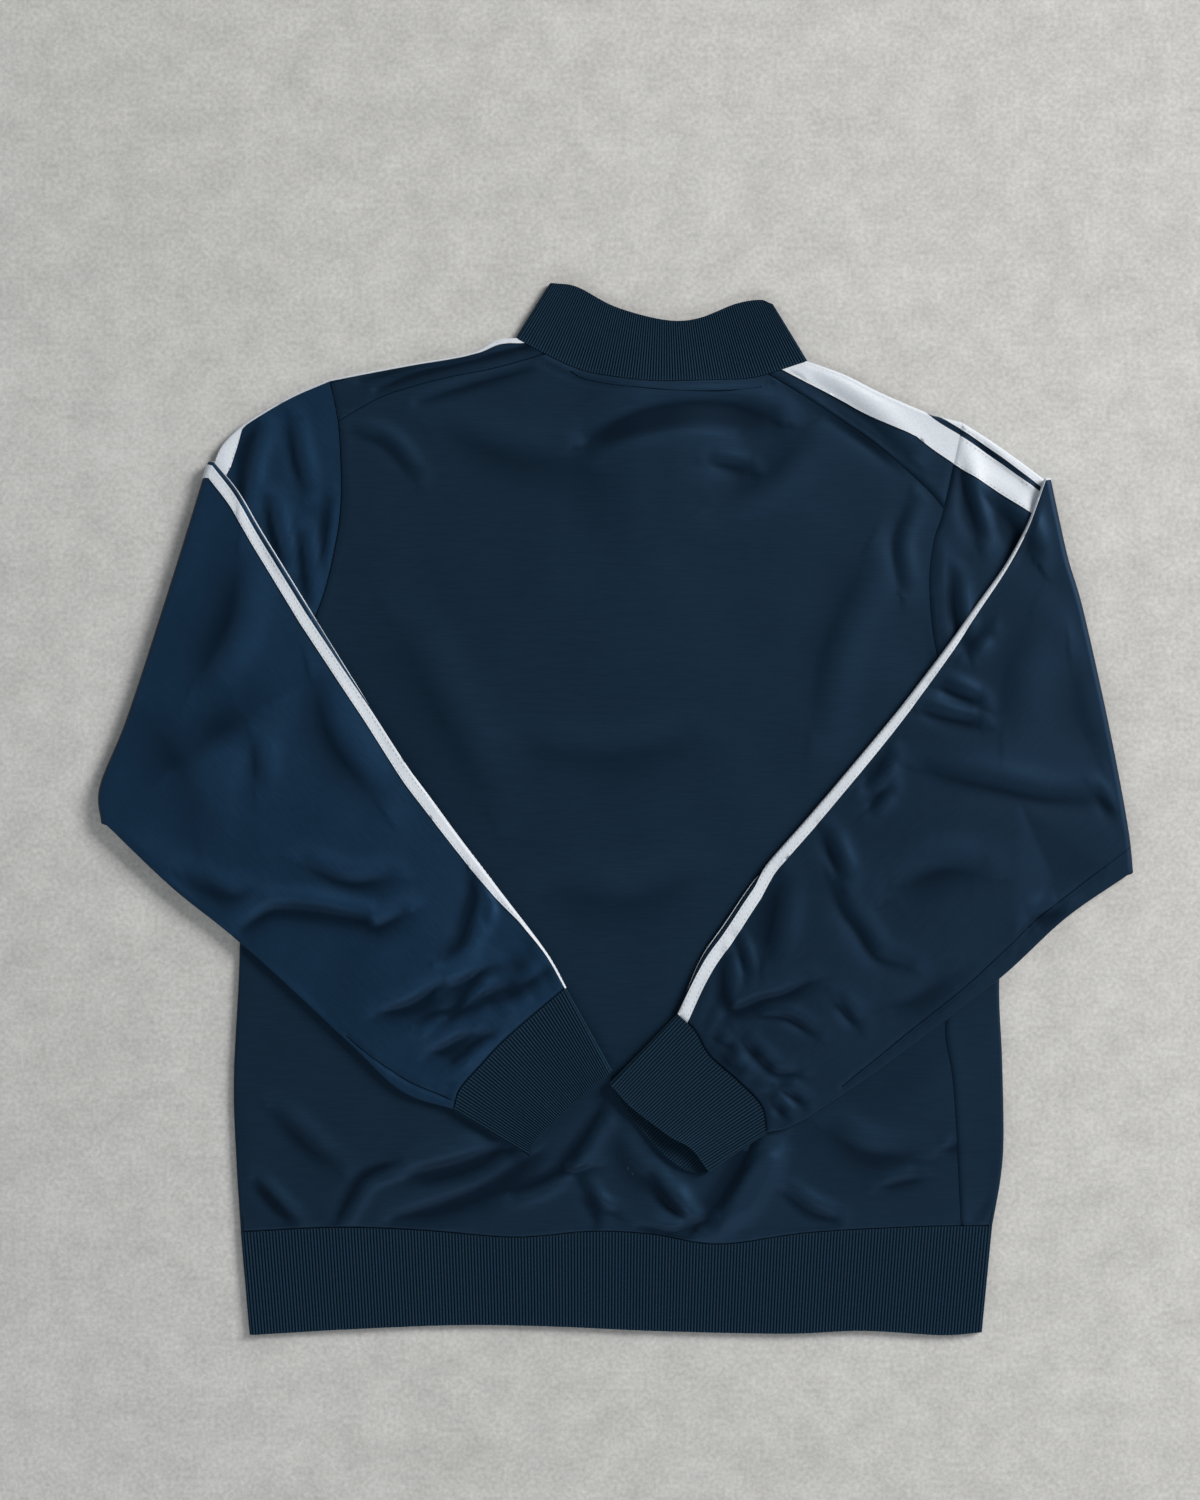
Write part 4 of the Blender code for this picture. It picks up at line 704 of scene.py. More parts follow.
def away_from(xy, reach, *lines):
    """0 on the lines, 1 beyond the reach."""
    flat, least = xy.reshape(-1, 2), np.full(xy[..., 0].size, 1e9)
    for line in lines:
        d, _, _ = distance(flat, line[::4] if len(line) > 100 else line)
        least = np.minimum(least, d)
    return smooth(0, reach, least).reshape(xy.shape[:-1])


UNDER_SLEEVES = [
    np.array(o["inner"] + o["cuff_end"] + o["outer"][::-1] + o["fold"][::-1], float) for o in OUTLINES.values()
]
SIDES = [M["side_left"], M["side_right"], M["arm_left"], M["arm_right"]]


def over_hem(xy):
    """0 at the hem seam, 1 a little above it."""
    return smooth(0, 9, xy[..., 1] - np.interp(xy[..., 0], HEM_C(DENSE)[:, 0], HEM_C(DENSE)[:, 1]))


def back_relief(xy):
    """Height of the back's folds, low under the sleeves and still at its seams."""
    free = np.minimum(*[smooth(0, 16, -inside_depth(xy, outline)) for outline in UNDER_SLEEVES])
    shape = creases(xy, BODY_CREASES) + waves(xy, 11, 0.55, 45, 170)
    centre = 1.7 * np.exp(-((xy[..., 0] - 5) / 120) ** 2 - ((xy[..., 1] - 90) / 130) ** 2)
    shape = shape + centre * free
    shape = np.where(shape > 0, np.minimum(shape, 4.5) * (0.12 + 0.88 * free), -2.4 * np.tanh(-shape / 2.4))
    shape = shape * away_from(xy, 7, *SIDES, M["neck_back"], M["yoke_left"], M["yoke_right"])
    shape = shape * over_hem(xy)
    shape = shape + groove(xy, M["arm_low_left"], HEM_C(DENSE))
    stitched = inset(M["neck_back"], 7, (20, 200))
    d = distance(xy.reshape(-1, 2), stitched[::4])[0].reshape(shape.shape)
    above = xy[..., 1] > np.interp(xy[..., 0], stitched[:, 0], stitched[:, 1]) - 1
    return shape - 0.6 * np.exp(-(d / 1.1) ** 2) + 0.6 * np.exp(-((d - 3.6) / 2.0) ** 2) * above


def under_relief(xy):
    """The fronts rest on the floor, so their creases only rise from it."""
    shape = -creases(xy, UNDER_CREASES) + 0.5 * waves(xy, 23, 0.5, 60, 180)
    shape = np.clip(shape, 0, 1.5)
    seams = ("seam_left", "low_yoke_left", "low_yoke_right", "front_left", "front_right")
    edge = away_from(xy, 9, *SIDES, *[M[seam] for seam in seams])
    zip_line = smooth(9, 24, np.abs(xy[..., 0] - zip_x(xy[..., 1])))
    return shape * edge * zip_line * over_hem(xy)


# ---------------------------------------------------------------- body

def back_panel():
    """The back, which runs on round the left side to its seam on the front."""
    cloth = Cloth()
    pit = np.array([M["arm_left"][-1], M["arm_right"][-1]])
    top = joined(M["yoke_left"], M["neck_back"], M["yoke_right"])
    s = spans([M["yoke_left"], M["neck_back"], M["yoke_right"]], 2.85)
    t = np.unique(np.r_[graded(170, 3.6) * 0.63, 0.63 + graded(100, 2.4) * 0.37])
    arms = [at(M["arm_low_" + name][::-1], t) for name in ("left", "right")]
    laid(cloth, coons(at(pit, s), at(top, s), *arms, s, t), 1, back_relief)
    left, right = M["side_left"][::-1], np.vstack([M["seam_right"][::-1], pit[1:]])
    hem = hem_between(left[0], right[0])
    t = np.unique(np.r_[graded(85, 2.0) * 0.25, 0.25 + graded(250, 3.6) * 0.75])
    t = np.unique(np.r_[t, at_height(left, M["fold_left"][0][1])])
    laid(cloth, coons(at(hem, s), at(pit, s), at(left, t), at(right, t), s, t), 1, back_relief)
    line = at(left, t[:-1])[::-1]
    side_fold(cloth, line, outwards(line, (0, -100)))
    seam = at_heights(M["seam_left"], line[:, 1])
    f = graded(32, 4.0)[:, None, None]
    laid(cloth, (1 - f) * line + f * seam, -1, under_relief)
    return cloth, hem


def at_height(line, y):
    """The share along a rising polyline at which it reaches a height."""
    run = run_of(line)
    return float(np.interp(y, line[:, 1], run) / run[-1])


def front_panel(name):
    """One front, from the zip to the side; the right one runs on round the side to its seam on the back."""
    sign = -1 if name == "left" else 1
    cloth = Cloth()
    neck = M["front_left"][::-1] if name == "left" else M["front_right"]
    yoke = M["low_yoke_left"][::-1] if name == "left" else M["low_yoke_right"]
    neck = neck.copy()
    neck[0, 0] = zip_x(neck[0, 1]) + sign * ZIP_GAP
    top = joined(neck, yoke)
    s = spans([neck, yoke], 5.0)
    arm = M["arm_low_" + name]
    pit_y = arm[-1][1]
    pit = np.array([(zip_x(pit_y) + sign * ZIP_GAP, pit_y), arm[-1]])
    t = graded(200, 5.0)
    y = pit_y + (neck[0, 1] - pit_y) * t
    zip_up = np.column_stack([zip_x(y) + sign * ZIP_GAP, y])
    laid(cloth, coons(at(pit, s), at(top, s), zip_up, at(arm[::-1], t), s, t), -1, under_relief)
    outer = np.vstack([M["seam_left"][::-1], arm[-1:]]) if name == "left" else M["side_right"][::-1]
    t = graded(335, 5.0)
    if name == "right":
        t = np.unique(np.r_[t, at_height(outer, M["fold_right"][0][1])])
    side = at(outer, t)
    y_hem = float(HEM_C(nearest(HEM_C, (2.5, -297)))[1])
    y = (side[:, 1] - side[0, 1]) / (side[-1, 1] - side[0, 1]) * (pit_y - y_hem) + y_hem
    zip_low = np.column_stack([zip_x(y) + sign * ZIP_GAP, y])
    hem = hem_between(zip_low[0], side[0])
    laid(cloth, coons(at(hem, s), at(pit, s), zip_low, side, s, t), -1, under_relief)
    if name == "right":
        line = side[:-1][::-1]
        side_fold(cloth, line, outwards(line, (0, -100)))
        seam = at_heights(M["seam_right"], line[:, 1])
        f = graded(30, 3.0)[:, None, None]
        laid(cloth, (1 - f) * line + f * seam, 1, lambda xy: back_relief(xy) + groove(xy, M["seam_right"]))
    return cloth, hem, neck


def yoke_relief(xy):
    shape = creases(xy, BODY_CREASES) + waves(xy, 31, 0.3, 30, 120)
    edges = [M[k + "_" + side] for k in ("yoke", "tip", "arm_up", "neck_yoke") for side in ("left", "right")]
    shape = np.where(shape > 0, np.minimum(shape, 2.5), -1.9 * np.tanh(-shape / 1.9))
    return shape * away_from(xy, 4, *edges) + groove(xy, M["yoke_left"], M["yoke_right"], M["arm_up_left"])


def yoke_panel(name):
    """The shoulder panel, over the shoulder's fold, with each point's distance round it."""
    cloth = Cloth()
    tip = M["tip_" + name]
    turn = -1 if name == "left" else 1
    back, low = M["yoke_" + name][::turn], M["low_yoke_" + name][::turn]
    neck_b, neck_f = M["neck_yoke_" + name][::turn], M["front_yoke_" + name][::turn]
    arm = M["arm_up_" + name][::-1]
    t, s = graded(length_of(tip), 2.2), graded(42, 2.2)
    plan = coons(at(neck_b, s), at(arm, s), at(back, t), at(tip, t), s, t)
    under = coons(at(neck_f, s), at(arm, s), at(low, t), at(tip, t), s, t)
    half = HALF - TAPE_ROOM / 2
    quarter = math.pi / 2 * half

    def reach(q):
        run = np.cumsum(np.linalg.norm(np.diff(q[:, ::-1], axis=1), axis=2), axis=1)
        return np.concatenate([np.zeros((len(q), 1)), run], 1)[:, ::-1] + quarter

    u = np.broadcast_to(t[:, None], plan.shape[:2])
    laid(cloth, plan, 1, yoke_relief, 0.0, -reach(plan), u)
    laid(cloth, under, -1, None, TAPE_ROOM, reach(under), u)
    out = unit(plan[:, -1] - plan[:, -2])
    side_fold(cloth, at(tip, t), out, half, TAPE_ROOM, t)
    return cloth


# ---------------------------------------------------------------- sleeves

def sleeve_grid(side, cuff_seam, rows):
    """The sleeve tube as a grid of stations by points round it, with its relief."""
    o = OUTLINES[side]
    v = np.linspace(0, 1, ROUND)
    arm_p = at(M["arm_" + side], v)
    mid = arm_p.mean(0)
    over_c, under_c = curve(inset(o["over"], TURN_HALF, mid)), curve(inset(o["under"], TURN_HALF, mid))
    fold_c = curve(inset(o["fold"], TURN_R + TURN_HALF, mid))
    inner_c = curve(inset(o["inner"], TURN_HALF, o["outer"][len(o["outer"]) // 2]))
    outer_c = curve(inset(o["outer"], TURN_HALF, o["inner"][len(o["inner"]) // 2]))
    fold_pts = fold_c(0.01 + 0.98 * v)
    run = unit(fold_pts[-1] - fold_pts[0])
    out = np.array([-run[1], run[0]])
    if np.dot(out, fold_pts.mean(0) - mid) < 0:
        out = -out

    def patch(first, last, edge_a, edge_b, t):
        a = edge_a(t) + (1 - t)[:, None] * (first[0] - edge_a(0.0)) + t[:, None] * (last[0] - edge_a(1.0))
        b = edge_b(t) + (1 - t)[:, None] * (first[-1] - edge_b(0.0)) + t[:, None] * (last[-1] - edge_b(1.0))
        line = (1 - t)[:, None, None] * first + t[:, None, None] * last
        s = v[None, :, None]
        return line + (1 - s) * (a[:, None] - line[:, :1]) + s * (b[:, None] - line[:, -1:])

    t0, turns, t2 = graded(75, 2.4)[:-1], 12, graded(430, 2.5)[1:]
    a = math.pi * np.arange(turns + 1) / turns
    plan = np.concatenate([
        patch(arm_p, fold_pts, over_c, under_c, t0),
        fold_pts[None] + (TURN_R * np.sin(a))[:, None, None] * out,
        patch(fold_pts, cuff_seam(v), inner_c, outer_c, t2),
    ])
    half = HALF - TAPE_ROOM / 2
    half = np.r_[half + (TURN_HALF - half) * t0, np.full(len(a) + len(t2), TURN_HALF)]
    low = TAPE_ROOM + TURN_HALF
    climb = 2 * HALF + 0.9 - 2 * TURN_R - TAPE_ROOM
    after = low + 2 * TURN_R + climb * smooth(0.0, 0.42, t2)
    z = np.r_[TAPE_ROOM + half[:len(t0)], low + TURN_R * (1 - np.cos(a)), after]
    n = np.zeros((len(z), 3))
    n[:len(t0), 2], n[len(t0) + len(a):, 2] = 1, -1
    n[len(t0):len(t0) + len(a)] = np.column_stack([-out[0] * np.sin(a), -out[1] * np.sin(a), np.cos(a)])
    turn = (TURN_TO - TURN_FROM) * np.arange(turns + 1) / turns
    u = np.r_[TURN_FROM * t0, TURN_FROM + turn, TURN_TO + (1 - TURN_TO) * t2]
    p, d, w = tube(plan, z, half, n)
    early, late = u < TURN_FROM + 0.0001, u > TURN_TO - 0.0001
    seen = np.where(early, 1.0, np.where(late, -1.0, 0.0))[:, None]
    layer = np.zeros(w.shape)
    layer[:, :ROUND], layer[:, ROUND + BEND - 1:2 * ROUND + BEND - 1] = 1, -1
    width = np.linalg.norm(np.diff(plan, axis=1), axis=2).sum(1)
    edge = np.zeros(w.shape)
    flat = layer != 0
    other_way = width[:, None] + math.pi * half[:, None] - np.abs(w)
    edge[flat] = (np.minimum(np.abs(w), other_way) - math.pi / 2 * half[:, None])[flat]
    xy = p[..., :2]
    top = (layer == seen) & (seen != 0)
    before = smooth(TURN_FROM, 0.16, u) * smooth(0.0, 0.03, u)
    ends = np.where(early, before, smooth(TURN_TO, 0.30, u) * smooth(1.0, 0.975, u))
    seed, unevenness = (41, 1.0) if side == "left" else (43, 0.6)
    shape = creases(xy, rows) + waves(xy, seed, unevenness, 35, 150)
    share = np.clip(edge / np.maximum(width[:, None] / 2, 1), 0, 1)
    swell = 4.6 * smooth(TURN_TO, 0.5, u) * (0.45 + 0.55 * smooth(1.0, 0.8, u))
    dome = np.where(late, swell, 1.6)[:, None] * smooth(0, 0.85, share)
    at_cuff = (smooth(0.88, 0.985, u) * smooth(1.0, 0.988, u))[:, None]
    round_it = np.linspace(0, 1, w.shape[1])[None] * 2 * math.pi
    gather = 0.32 * np.sin(round_it * 19 + 2 * np.sin(7 * u)[:, None]) * at_cuff
    deep = 1.7 + 0.9 * dome
    shape = np.where(shape > 0, np.minimum(shape, 4.0), -deep * np.tanh(-shape / deep)) + dome + gather
    p[..., 2] += np.where(top, shape * smooth(0, 8, edge) * ends[:, None], 0)
    bare = 3.2 * smooth(3, 34, inside_depth(xy, np.array(o["bare"], float)))
    p[..., 2] -= np.where(late[:, None], bare * smooth(TURN_TO, 0.34, u)[:, None], 0)
    if side == "right":
        p[..., 2] += np.where(top & (u < 0.1)[:, None], groove(xy, M["arm_right"]), 0)
    p[..., 2] += np.where(top & (u > 0.9)[:, None], groove(xy, cuff_seam(DENSE)), 0)
    underarm = 1.1 * groove(xy, curve(o["underarm"])(DENSE)) * smooth(0, 3, edge)
    p[..., 2] += np.where(top & (u > 0.3)[:, None], underarm, 0)
    return p, d, w, np.broadcast_to(u[:, None], w.shape), plan[-1]


def tube(plan, z, half, n):
    """Points round each station: the side n faces, the far edge, the other side, the near edge."""
    rows, cols = plan.shape[:2]
    z = np.broadcast_to(np.reshape(z, (rows, -1)), (rows, cols))
    centre = np.concatenate([plan, z[..., None]], -1)
    h, nn = half[:, None, None], n[:, None]

    def sideways(a, b):
        e = np.concatenate([unit(a - b), np.zeros((rows, 1))], 1)
        return unit(e - n * np.sum(e * n, 1)[:, None])

    near, far = sideways(plan[:, 0], plan[:, 1]), sideways(plan[:, -1], plan[:, -2])
    run = np.array([run_of(line) for line in plan])
    quarter = math.pi / 2 * half[:, None]
    a = math.pi / 2 - math.pi * np.arange(1, BEND) / BEND
    far_d = far[:, None] * np.cos(a)[:, None] + nn * np.sin(a)[:, None]
    near_d = near[:, None] * np.cos(a)[:, None] - nn * np.sin(a)[:, None]
    turned = centre[:, ::-1]
    p = np.concatenate([centre + h * nn, centre[:, -1:] + h * far_d, turned - h * nn, centre[:, :1] + h * near_d], 1)
    d = [np.broadcast_to(nn, centre.shape), far_d, np.broadcast_to(-nn, centre.shape), near_d]
    far_w = np.broadcast_to(np.where(a < 0, OPPOSITE, -OPPOSITE), (rows, BEND - 1))
    w = np.concatenate([-(quarter + run), far_w, (quarter + run)[:, ::-1], half[:, None] * a], 1)
    return p, np.concatenate(d, 1), w


# ---------------------------------------------------------------- rib

def rib_ring(rows_of, length, pitch, shares):
    """A ribbed sheet from dense rows of (x, y, z, nx, ny, nz), four points to each rib."""
    first = rows_of(0.0)
    run = run_of(first[:, :3])
    ribs = int(round(run[-1] / pitch))
    place = np.interp(np.linspace(0, run[-1], 4 * ribs + 1), run, np.arange(len(first)))
    wave = rib_wave(4 * ribs + 1)
    p_rows, n_rows = [], []
    for t in shares:
        row = rows_of(t)
        q = columns(place, np.arange(len(row)), row)
        n = unit(q[:, 3:])
        fade = min(1.0, 0.35 + t * length / 3, 0.55 + (1 - t) * length / 3)
        p_rows.append(q[:, :3] + n * (RIB_DEPTH * fade * (wave - 1))[:, None])
        n_rows.append(n)
    # The third array tags each rib's valley (1) and crest (0) for painted shade and painted highlight in the colour.
    return np.array(p_rows), np.array(n_rows), np.broadcast_to(0.5 - 0.5 * wave, (len(shares), len(wave)))


def rib_wave(count):
    return np.cos(2 * math.pi * np.arange(count) / 4 + 0.6)


def ring_row(right, rise, back, drop, left, half):
    """A flattened ring: the right front, a fold up to the back, the back, a fold down, the left front."""
    out = []
    for line, side in ((right, -1), (rise, 0), (back, 1), (drop, 0), (left, -1)):
        if side:
            x, y = line[:, 0], line[:, 1]
            z = top_of(x, y) + 2 * (half - HALF) if side > 0 else lift(x, y)
            out.append(np.column_stack([x, y, z, 0 * x, 0 * x, 0 * x + side]))
        else:
            place, away = line
            a = (math.pi / 2 - math.pi * np.arange(1, 12) / 12) * (-1 if line is rise else 1)
            d = np.column_stack([away[0] * np.cos(a), away[1] * np.cos(a), np.sin(a)])
            out.append(np.column_stack([place + half * d[:, :2], half + half * d[:, 2], d]))
    return np.vstack(out)


def hem_rows(hems):
    """The hem band's rows, from its seam to its free edge."""
    half = 2.4
    f = DENSE[:, None]
    wrap_r = (1 - f) * M["side_right"][-1] + f * M["seam_right"][-1]
    wrap_l = (1 - f) * M["side_left"][-1] + f * M["seam_left"][-1]
    top = joined(wrap_r[::8], hems["back"][::-1])
    low_l, low_r = joined(wrap_l[::8], hems["left"][::-1]), hems["right"]
    edge = curve(ends_in(HEM_EDGE, half, half))
    x0, x1 = M["side_left"][-1][0], M["side_right"][-1][0]

    def rows_of(t):
        def down(line, sign=0):
            out = (1 - t) * line + t * edge((line[:, 0] - x0) / (x1 - x0))
            if sign:
                k = 0 if sign > 0 else -1
                out[k, 0] = zip_x(out[k, 1]) + sign * ZIP_GAP
            return out
        b, r, l = down(top), down(low_r, 1), down(low_l, -1)
        return ring_row(r, (b[0], (1, 0)), b, (l[0], (-1, 0)), l, half)
    return rows_of


def collar_rows(necks):
    """The collar's rows, from the neck seam to its free edge."""
    half = 2.5
    back = joined(M["neck_yoke_left"], M["neck_back"], M["neck_yoke_right"])[::-1]
    right = joined(necks["right"], M["front_yoke_right"])
    left = joined(M["front_yoke_left"], necks["left"][::-1])
    top_b, top_f = curve(ends_in(COLLAR_BACK, half, half)), curve(ends_in(COLLAR_FRONT, half, half))
    centre = nearest(top_f, (zip_x(268), 268))

    def share(line):
        run = run_of(line)
        return run / run[-1]

    back_end = top_b(1 - share(back))
    right_end, left_end = top_f(centre + (1 - centre) * share(right)), top_f(centre * share(left))
    right_end[-1], left_end[0] = back_end[0], back_end[-1]

    def rows_of(t):
        b, l = (1 - t) * back + t * back_end, (1 - t) * left + t * left_end
        r = (1 - t) * right + t * right_end
        r[0, 0], l[-1, 0] = zip_x(r[0, 1]) + ZIP_GAP, zip_x(l[-1, 1]) - ZIP_GAP
        e_r, e_l = unit(b[0] - b[3]), unit(b[-1] - b[-4])
        return ring_row(r, (b[0], e_r), b[1:-1], (b[-1], e_l), l, half)
    return rows_of


def cuff_grid(seam, o, grow, gape, pitch=2.2):
    """A ribbed cuff from the sleeve's end to its open mouth, which grows and gapes."""
    v = np.linspace(0, 1, len(seam))
    b = curve(ends_in(o["cuff_end"], 2.2, 2.2))(v)
    length = float(np.linalg.norm(b - seam, axis=1).mean())
    shares = graded(length, 3.8)
    half = 2.3 + grow * shares ** 1.5
    plan = (1 - shares)[:, None, None] * seam + shares[:, None, None] * b
    n = np.tile((0, 0, -1.0), (len(shares), 1))
    p, d, _ = tube(plan, CUFF_BASE + half, half, n)
    cols, t = len(seam), shares[:, None]
    p[:, :cols, :2] += (t ** 2)[..., None] * (curve(ends_in(o["cuff_low"], 2.2, 2.2))(v) - b)
    hump = gape * t ** 3 * np.exp(-((v - 0.68) / 0.2) ** 2)
    open_part = (hump + 0.5 * t * np.sin(9 * v + 1))[:, ::-1] * (np.sin(math.pi * v) ** 0.7)[::-1]
    p[:, cols + BEND - 1:2 * cols + BEND - 1, 2] += open_part
    p[:, :cols, 2] += 0.35 * hump
    ring_p, ring_d = np.concatenate([p, p[:, :1]], 1), np.concatenate([d, d[:, :1]], 1)
    run = run_of(ring_p[0])
    ribs = int(round(run[-1] / pitch))
    place = np.interp(np.linspace(0, run[-1], 4 * ribs + 1)[:-1], run, np.arange(len(run)))
    wave = rib_wave(4 * ribs)
    p, d = (np.array([columns(place, np.arange(len(run)), row) for row in q]) for q in (ring_p, ring_d))
    d = unit(d)
    fade = np.minimum(1, np.minimum(0.35 + shares * length / 3, 0.55 + (1 - shares) * length / 3))
    ribbed = p + d * (RIB_DEPTH * fade[:, None] * (wave - 1))[..., None]
    # The third array tags each rib's valley (1) and crest (0) for painted shade and painted highlight in the colour.
    return ribbed, d, np.broadcast_to(0.5 - 0.5 * wave, p.shape[:2])


# ---------------------------------------------------------------- looks

BLUE, PLAIN = (0.35, 0.62, 1.0), (1, 1, 1)
EVEN = (900, 900, 900)      # thread lines the same in every direction


def shader_of(name):
    material = bpy.data.materials.new(name)
    material.use_nodes = True
    return material.node_tree, material.node_tree.nodes["Principled BSDF"]


def fill(tree, made, inputs):
    """Sets each input of a node to its value, or links it to another node's output."""
    for socket, value in inputs.items():
        if isinstance(value, bpy.types.NodeSocket):
            tree.links.new(value, made.inputs[socket])
        else:
            made.inputs[socket].default_value = value


def node(tree, kind, inputs=None, blend=None):
    made = tree.nodes.new("ShaderNode" + kind)
    if blend:
        made.blend_type = blend
    fill(tree, made, inputs or {})
    return made


def shade(colour, by=1):
    return (*[c * by for c in colour], 1)


def fabric(
    name, colour, roughness, sheen, tint, thread, lines, strength,
    vary=0.08, specular=0.38, gloss=(0.16, 0.42, 0.85), turn=0.0, painted_light_range=(1.0, 0.25),
):
    """A knit: colour with soft blotches, painted shade in hollows and on folded edges and painted highlight on ridges
    and rib crests, thread lines as a bump, and a faint sheen.
    """
    tree, shader = shader_of(name)
    place = node(tree, "TexCoord").outputs["Object"]
    turned = node(tree, "Mapping", {"Rotation": (0, 0, turn), "Vector": place})
    blotch = node(tree, "TexNoise", {"Scale": 9.0, "Detail": 3.0, "Vector": place})
    pair = {"Color1": shade(colour, 1 - vary), "Color2": shade(colour, 1 + vary)}
    base = node(tree, "MixRGB", {**pair, "Fac": blotch.outputs["Fac"]})
    stretch = node(tree, "Mapping", {"Scale": thread, "Vector": turned.outputs["Vector"]})
    noise = node(tree, "TexNoise", {"Scale": 1.0, "Detail": 2.0, "Vector": stretch.outputs["Vector"]})
    grain = noise.outputs["Fac"]
    streak = node(tree, "MixRGB", {"Fac": lines}, "MULTIPLY")
    ends = {"From Min": 0.3, "From Max": 0.7, "To Min": 0.35, "To Max": 1.7}
    level = node(tree, "MapRange", {**ends, "Value": grain})
    fill(tree, streak, {"Color1": base.outputs["Color"], "Color2": level.outputs["Result"]})
    # Painted shade and highlight: the mesh's valley tag darkens troughs, rib valleys and folded edges, and lightens
    # ridges and rib crests.
    if painted_light_range:
        tag = node(tree, "Attribute")
        tag.attribute_name = "valley"
        depth = node(tree, "MapRange", {"To Min": painted_light_range[0], "To Max": painted_light_range[1]})
        depth.clamp = False
        fill(tree, depth, {"Value": tag.outputs["Fac"]})
        pair = {"Color1": streak.outputs["Color"], "Color2": depth.outputs["Result"]}
        streak = node(tree, "MixRGB", {"Fac": 1.0, **pair}, "MULTIPLY")
    bump = node(tree, "Bump", {"Strength": strength, "Distance": 0.0004, "Height": grain})
    fill(tree, shader, {
        "Base Color": streak.outputs["Color"], "Roughness": roughness, "Normal": bump.outputs["Normal"],
        "Sheen Weight": sheen, "Sheen Roughness": 0.45, "Sheen Tint": shade(tint),
        "Specular IOR Level": specular, "Specular Tint": shade(gloss),
    })


def plain(name, colour, roughness, metallic=0.0):
    tree, shader = shader_of(name)
    noise = node(tree, "TexNoise", {"Scale": 700.0})
    pair = {"Color1": shade(colour, 0.75), "Color2": shade(colour, 1.25)}
    mix = node(tree, "MixRGB", {**pair, "Fac": noise.outputs["Fac"]})
    fill(tree, shader, {"Roughness": roughness, "Metallic": metallic, "Base Color": mix.outputs["Color"]})


NAVY = (0.0052, 0.0132, 0.0240)
fabric("navy body", NAVY, 0.56, 0.03, BLUE, (70, 1300, 70), 0.20, 0.12)
fabric("navy yoke", NAVY, 0.52, 0.03, BLUE, (70, 1300, 70), 0.18, 0.12)
# The left sleeve's copy of the navy is lighter and bluer than the body's: a painted reflection of bluish light off its
# sheen.
fabric(
    "navy left sleeve", (0.0058, 0.0190, 0.0400), 0.50, 0.04, (0.30, 0.60, 1.0), (120, 1300, 120), 0.20, 0.12,
    turn=0.75,
)
# The right sleeve's copy of the navy is a touch darker than the body's: painted shade.
fabric(
    "navy right sleeve", (0.0049, 0.0125, 0.0232), 0.55, 0.03, BLUE, (120, 1300, 120), 0.20, 0.12,
    turn=-0.75,
)
# Rib colour: painted highlight on the crests (x2.05) and painted shade in the valleys (x0.08).
fabric(
    "navy rib", (0.0070, 0.0174, 0.0300), 0.75, 0.02, (0.4, 0.75, 1.0), (700, 700, 700), 0.20, 0.10,
    specular=0.08, painted_light_range=(2.05, 0.08),
)
white = {"vary": 0.03, "specular": 0.3, "gloss": PLAIN, "painted_light_range": None}
fabric("white tape", (0.575, 0.615, 0.66), 0.50, 0.05, PLAIN, EVEN, 0.10, 0.10, **white)
fabric("white thread", (0.60, 0.63, 0.66), 0.60, 0.0, PLAIN, EVEN, 0.05, 0.05, **white)
fabric("seam shadow", (0.0016, 0.0040, 0.0075), 0.8, 0.0, PLAIN, EVEN, 0.05, 0.05, specular=0.05, painted_light_range=None)
fabric("zip tape cloth", (0.008, 0.017, 0.032), 0.70, 0.05, PLAIN, (200, 1500, 200), 0.3, 0.2, painted_light_range=None)
plain("zip teeth", (0.010, 0.020, 0.036), 0.38)
plain("lacquered metal", (0.014, 0.024, 0.042), 0.32, 0.7)


# ---------------------------------------------------------------- stitches and teeth

def dashes(name, paths, material, pitch, length, wide, high):
    """Stitches as one joined mesh, laid along (points, directions) paths."""
    points, faces = [], []
    for path, normals in paths:
        run = run_of(path)
        for start in np.arange(0.6, run[-1] - length, pitch):
            rows = start + length * np.array([0.0, 0.25, 0.75, 1.0])
            c, n = columns(rows, run, path), unit(columns(rows, run, normals))
            side = unit(np.cross(n, unit(np.gradient(c, axis=0))))
            rise = np.array([-0.1, 1.0, 1.0, -0.1])[:, None] * high
            grow = np.array([0.55, 1.0, 1.0, 0.55])[:, None] * wide / 2
            foot, top = side * grow, side * grow * 0.6
            ring = [c + foot - n * 0.15, c + top + n * rise, c - top + n * rise, c - foot - n * 0.15]
            first = len(points) * 16
            points.append(np.concatenate(ring, 1).reshape(-1, 3))
            for i in range(3):
                for j in range(4):
                    a, b = first + 4 * i + j, first + 4 * i + (j + 1) % 4
                    faces.append((a, b, b + 4, a + 4))
            faces.append((first + 3, first + 2, first + 1, first))
            faces.append((first + 12, first + 13, first + 14, first + 15))
    MADE[name] = dressed(mesh_object(name, np.vstack(points), faces), material)


def height_path(plan, relief):
    """A plan line laid on the upper side of the body."""
    z = top_of(plan[:, 0], plan[:, 1]) + relief(plan)
    return np.column_stack([plan, z]), np.tile((0, 0, 1.0), (len(plan), 1))


def ring_path(grid, o, offset, first=0.0, last=1.0):
    """The line on a sleeve that stays a distance from its stripe track."""
    out = []
    for p, n, w, u in zip(*grid):
        if not first <= u[0] <= last:
            continue
        use = np.flatnonzero(np.abs(w) < FAR)
        use = use[np.argsort(w[use])]
        value = table(o["track"], u[0]) + offset * table(o["bias"], u[0])
        out.append(np.r_[columns(value, w[use], p[use]), columns(value, w[use], n[use])])
    out = np.array(out)
    return out[:, :3], unit(out[:, 3:])


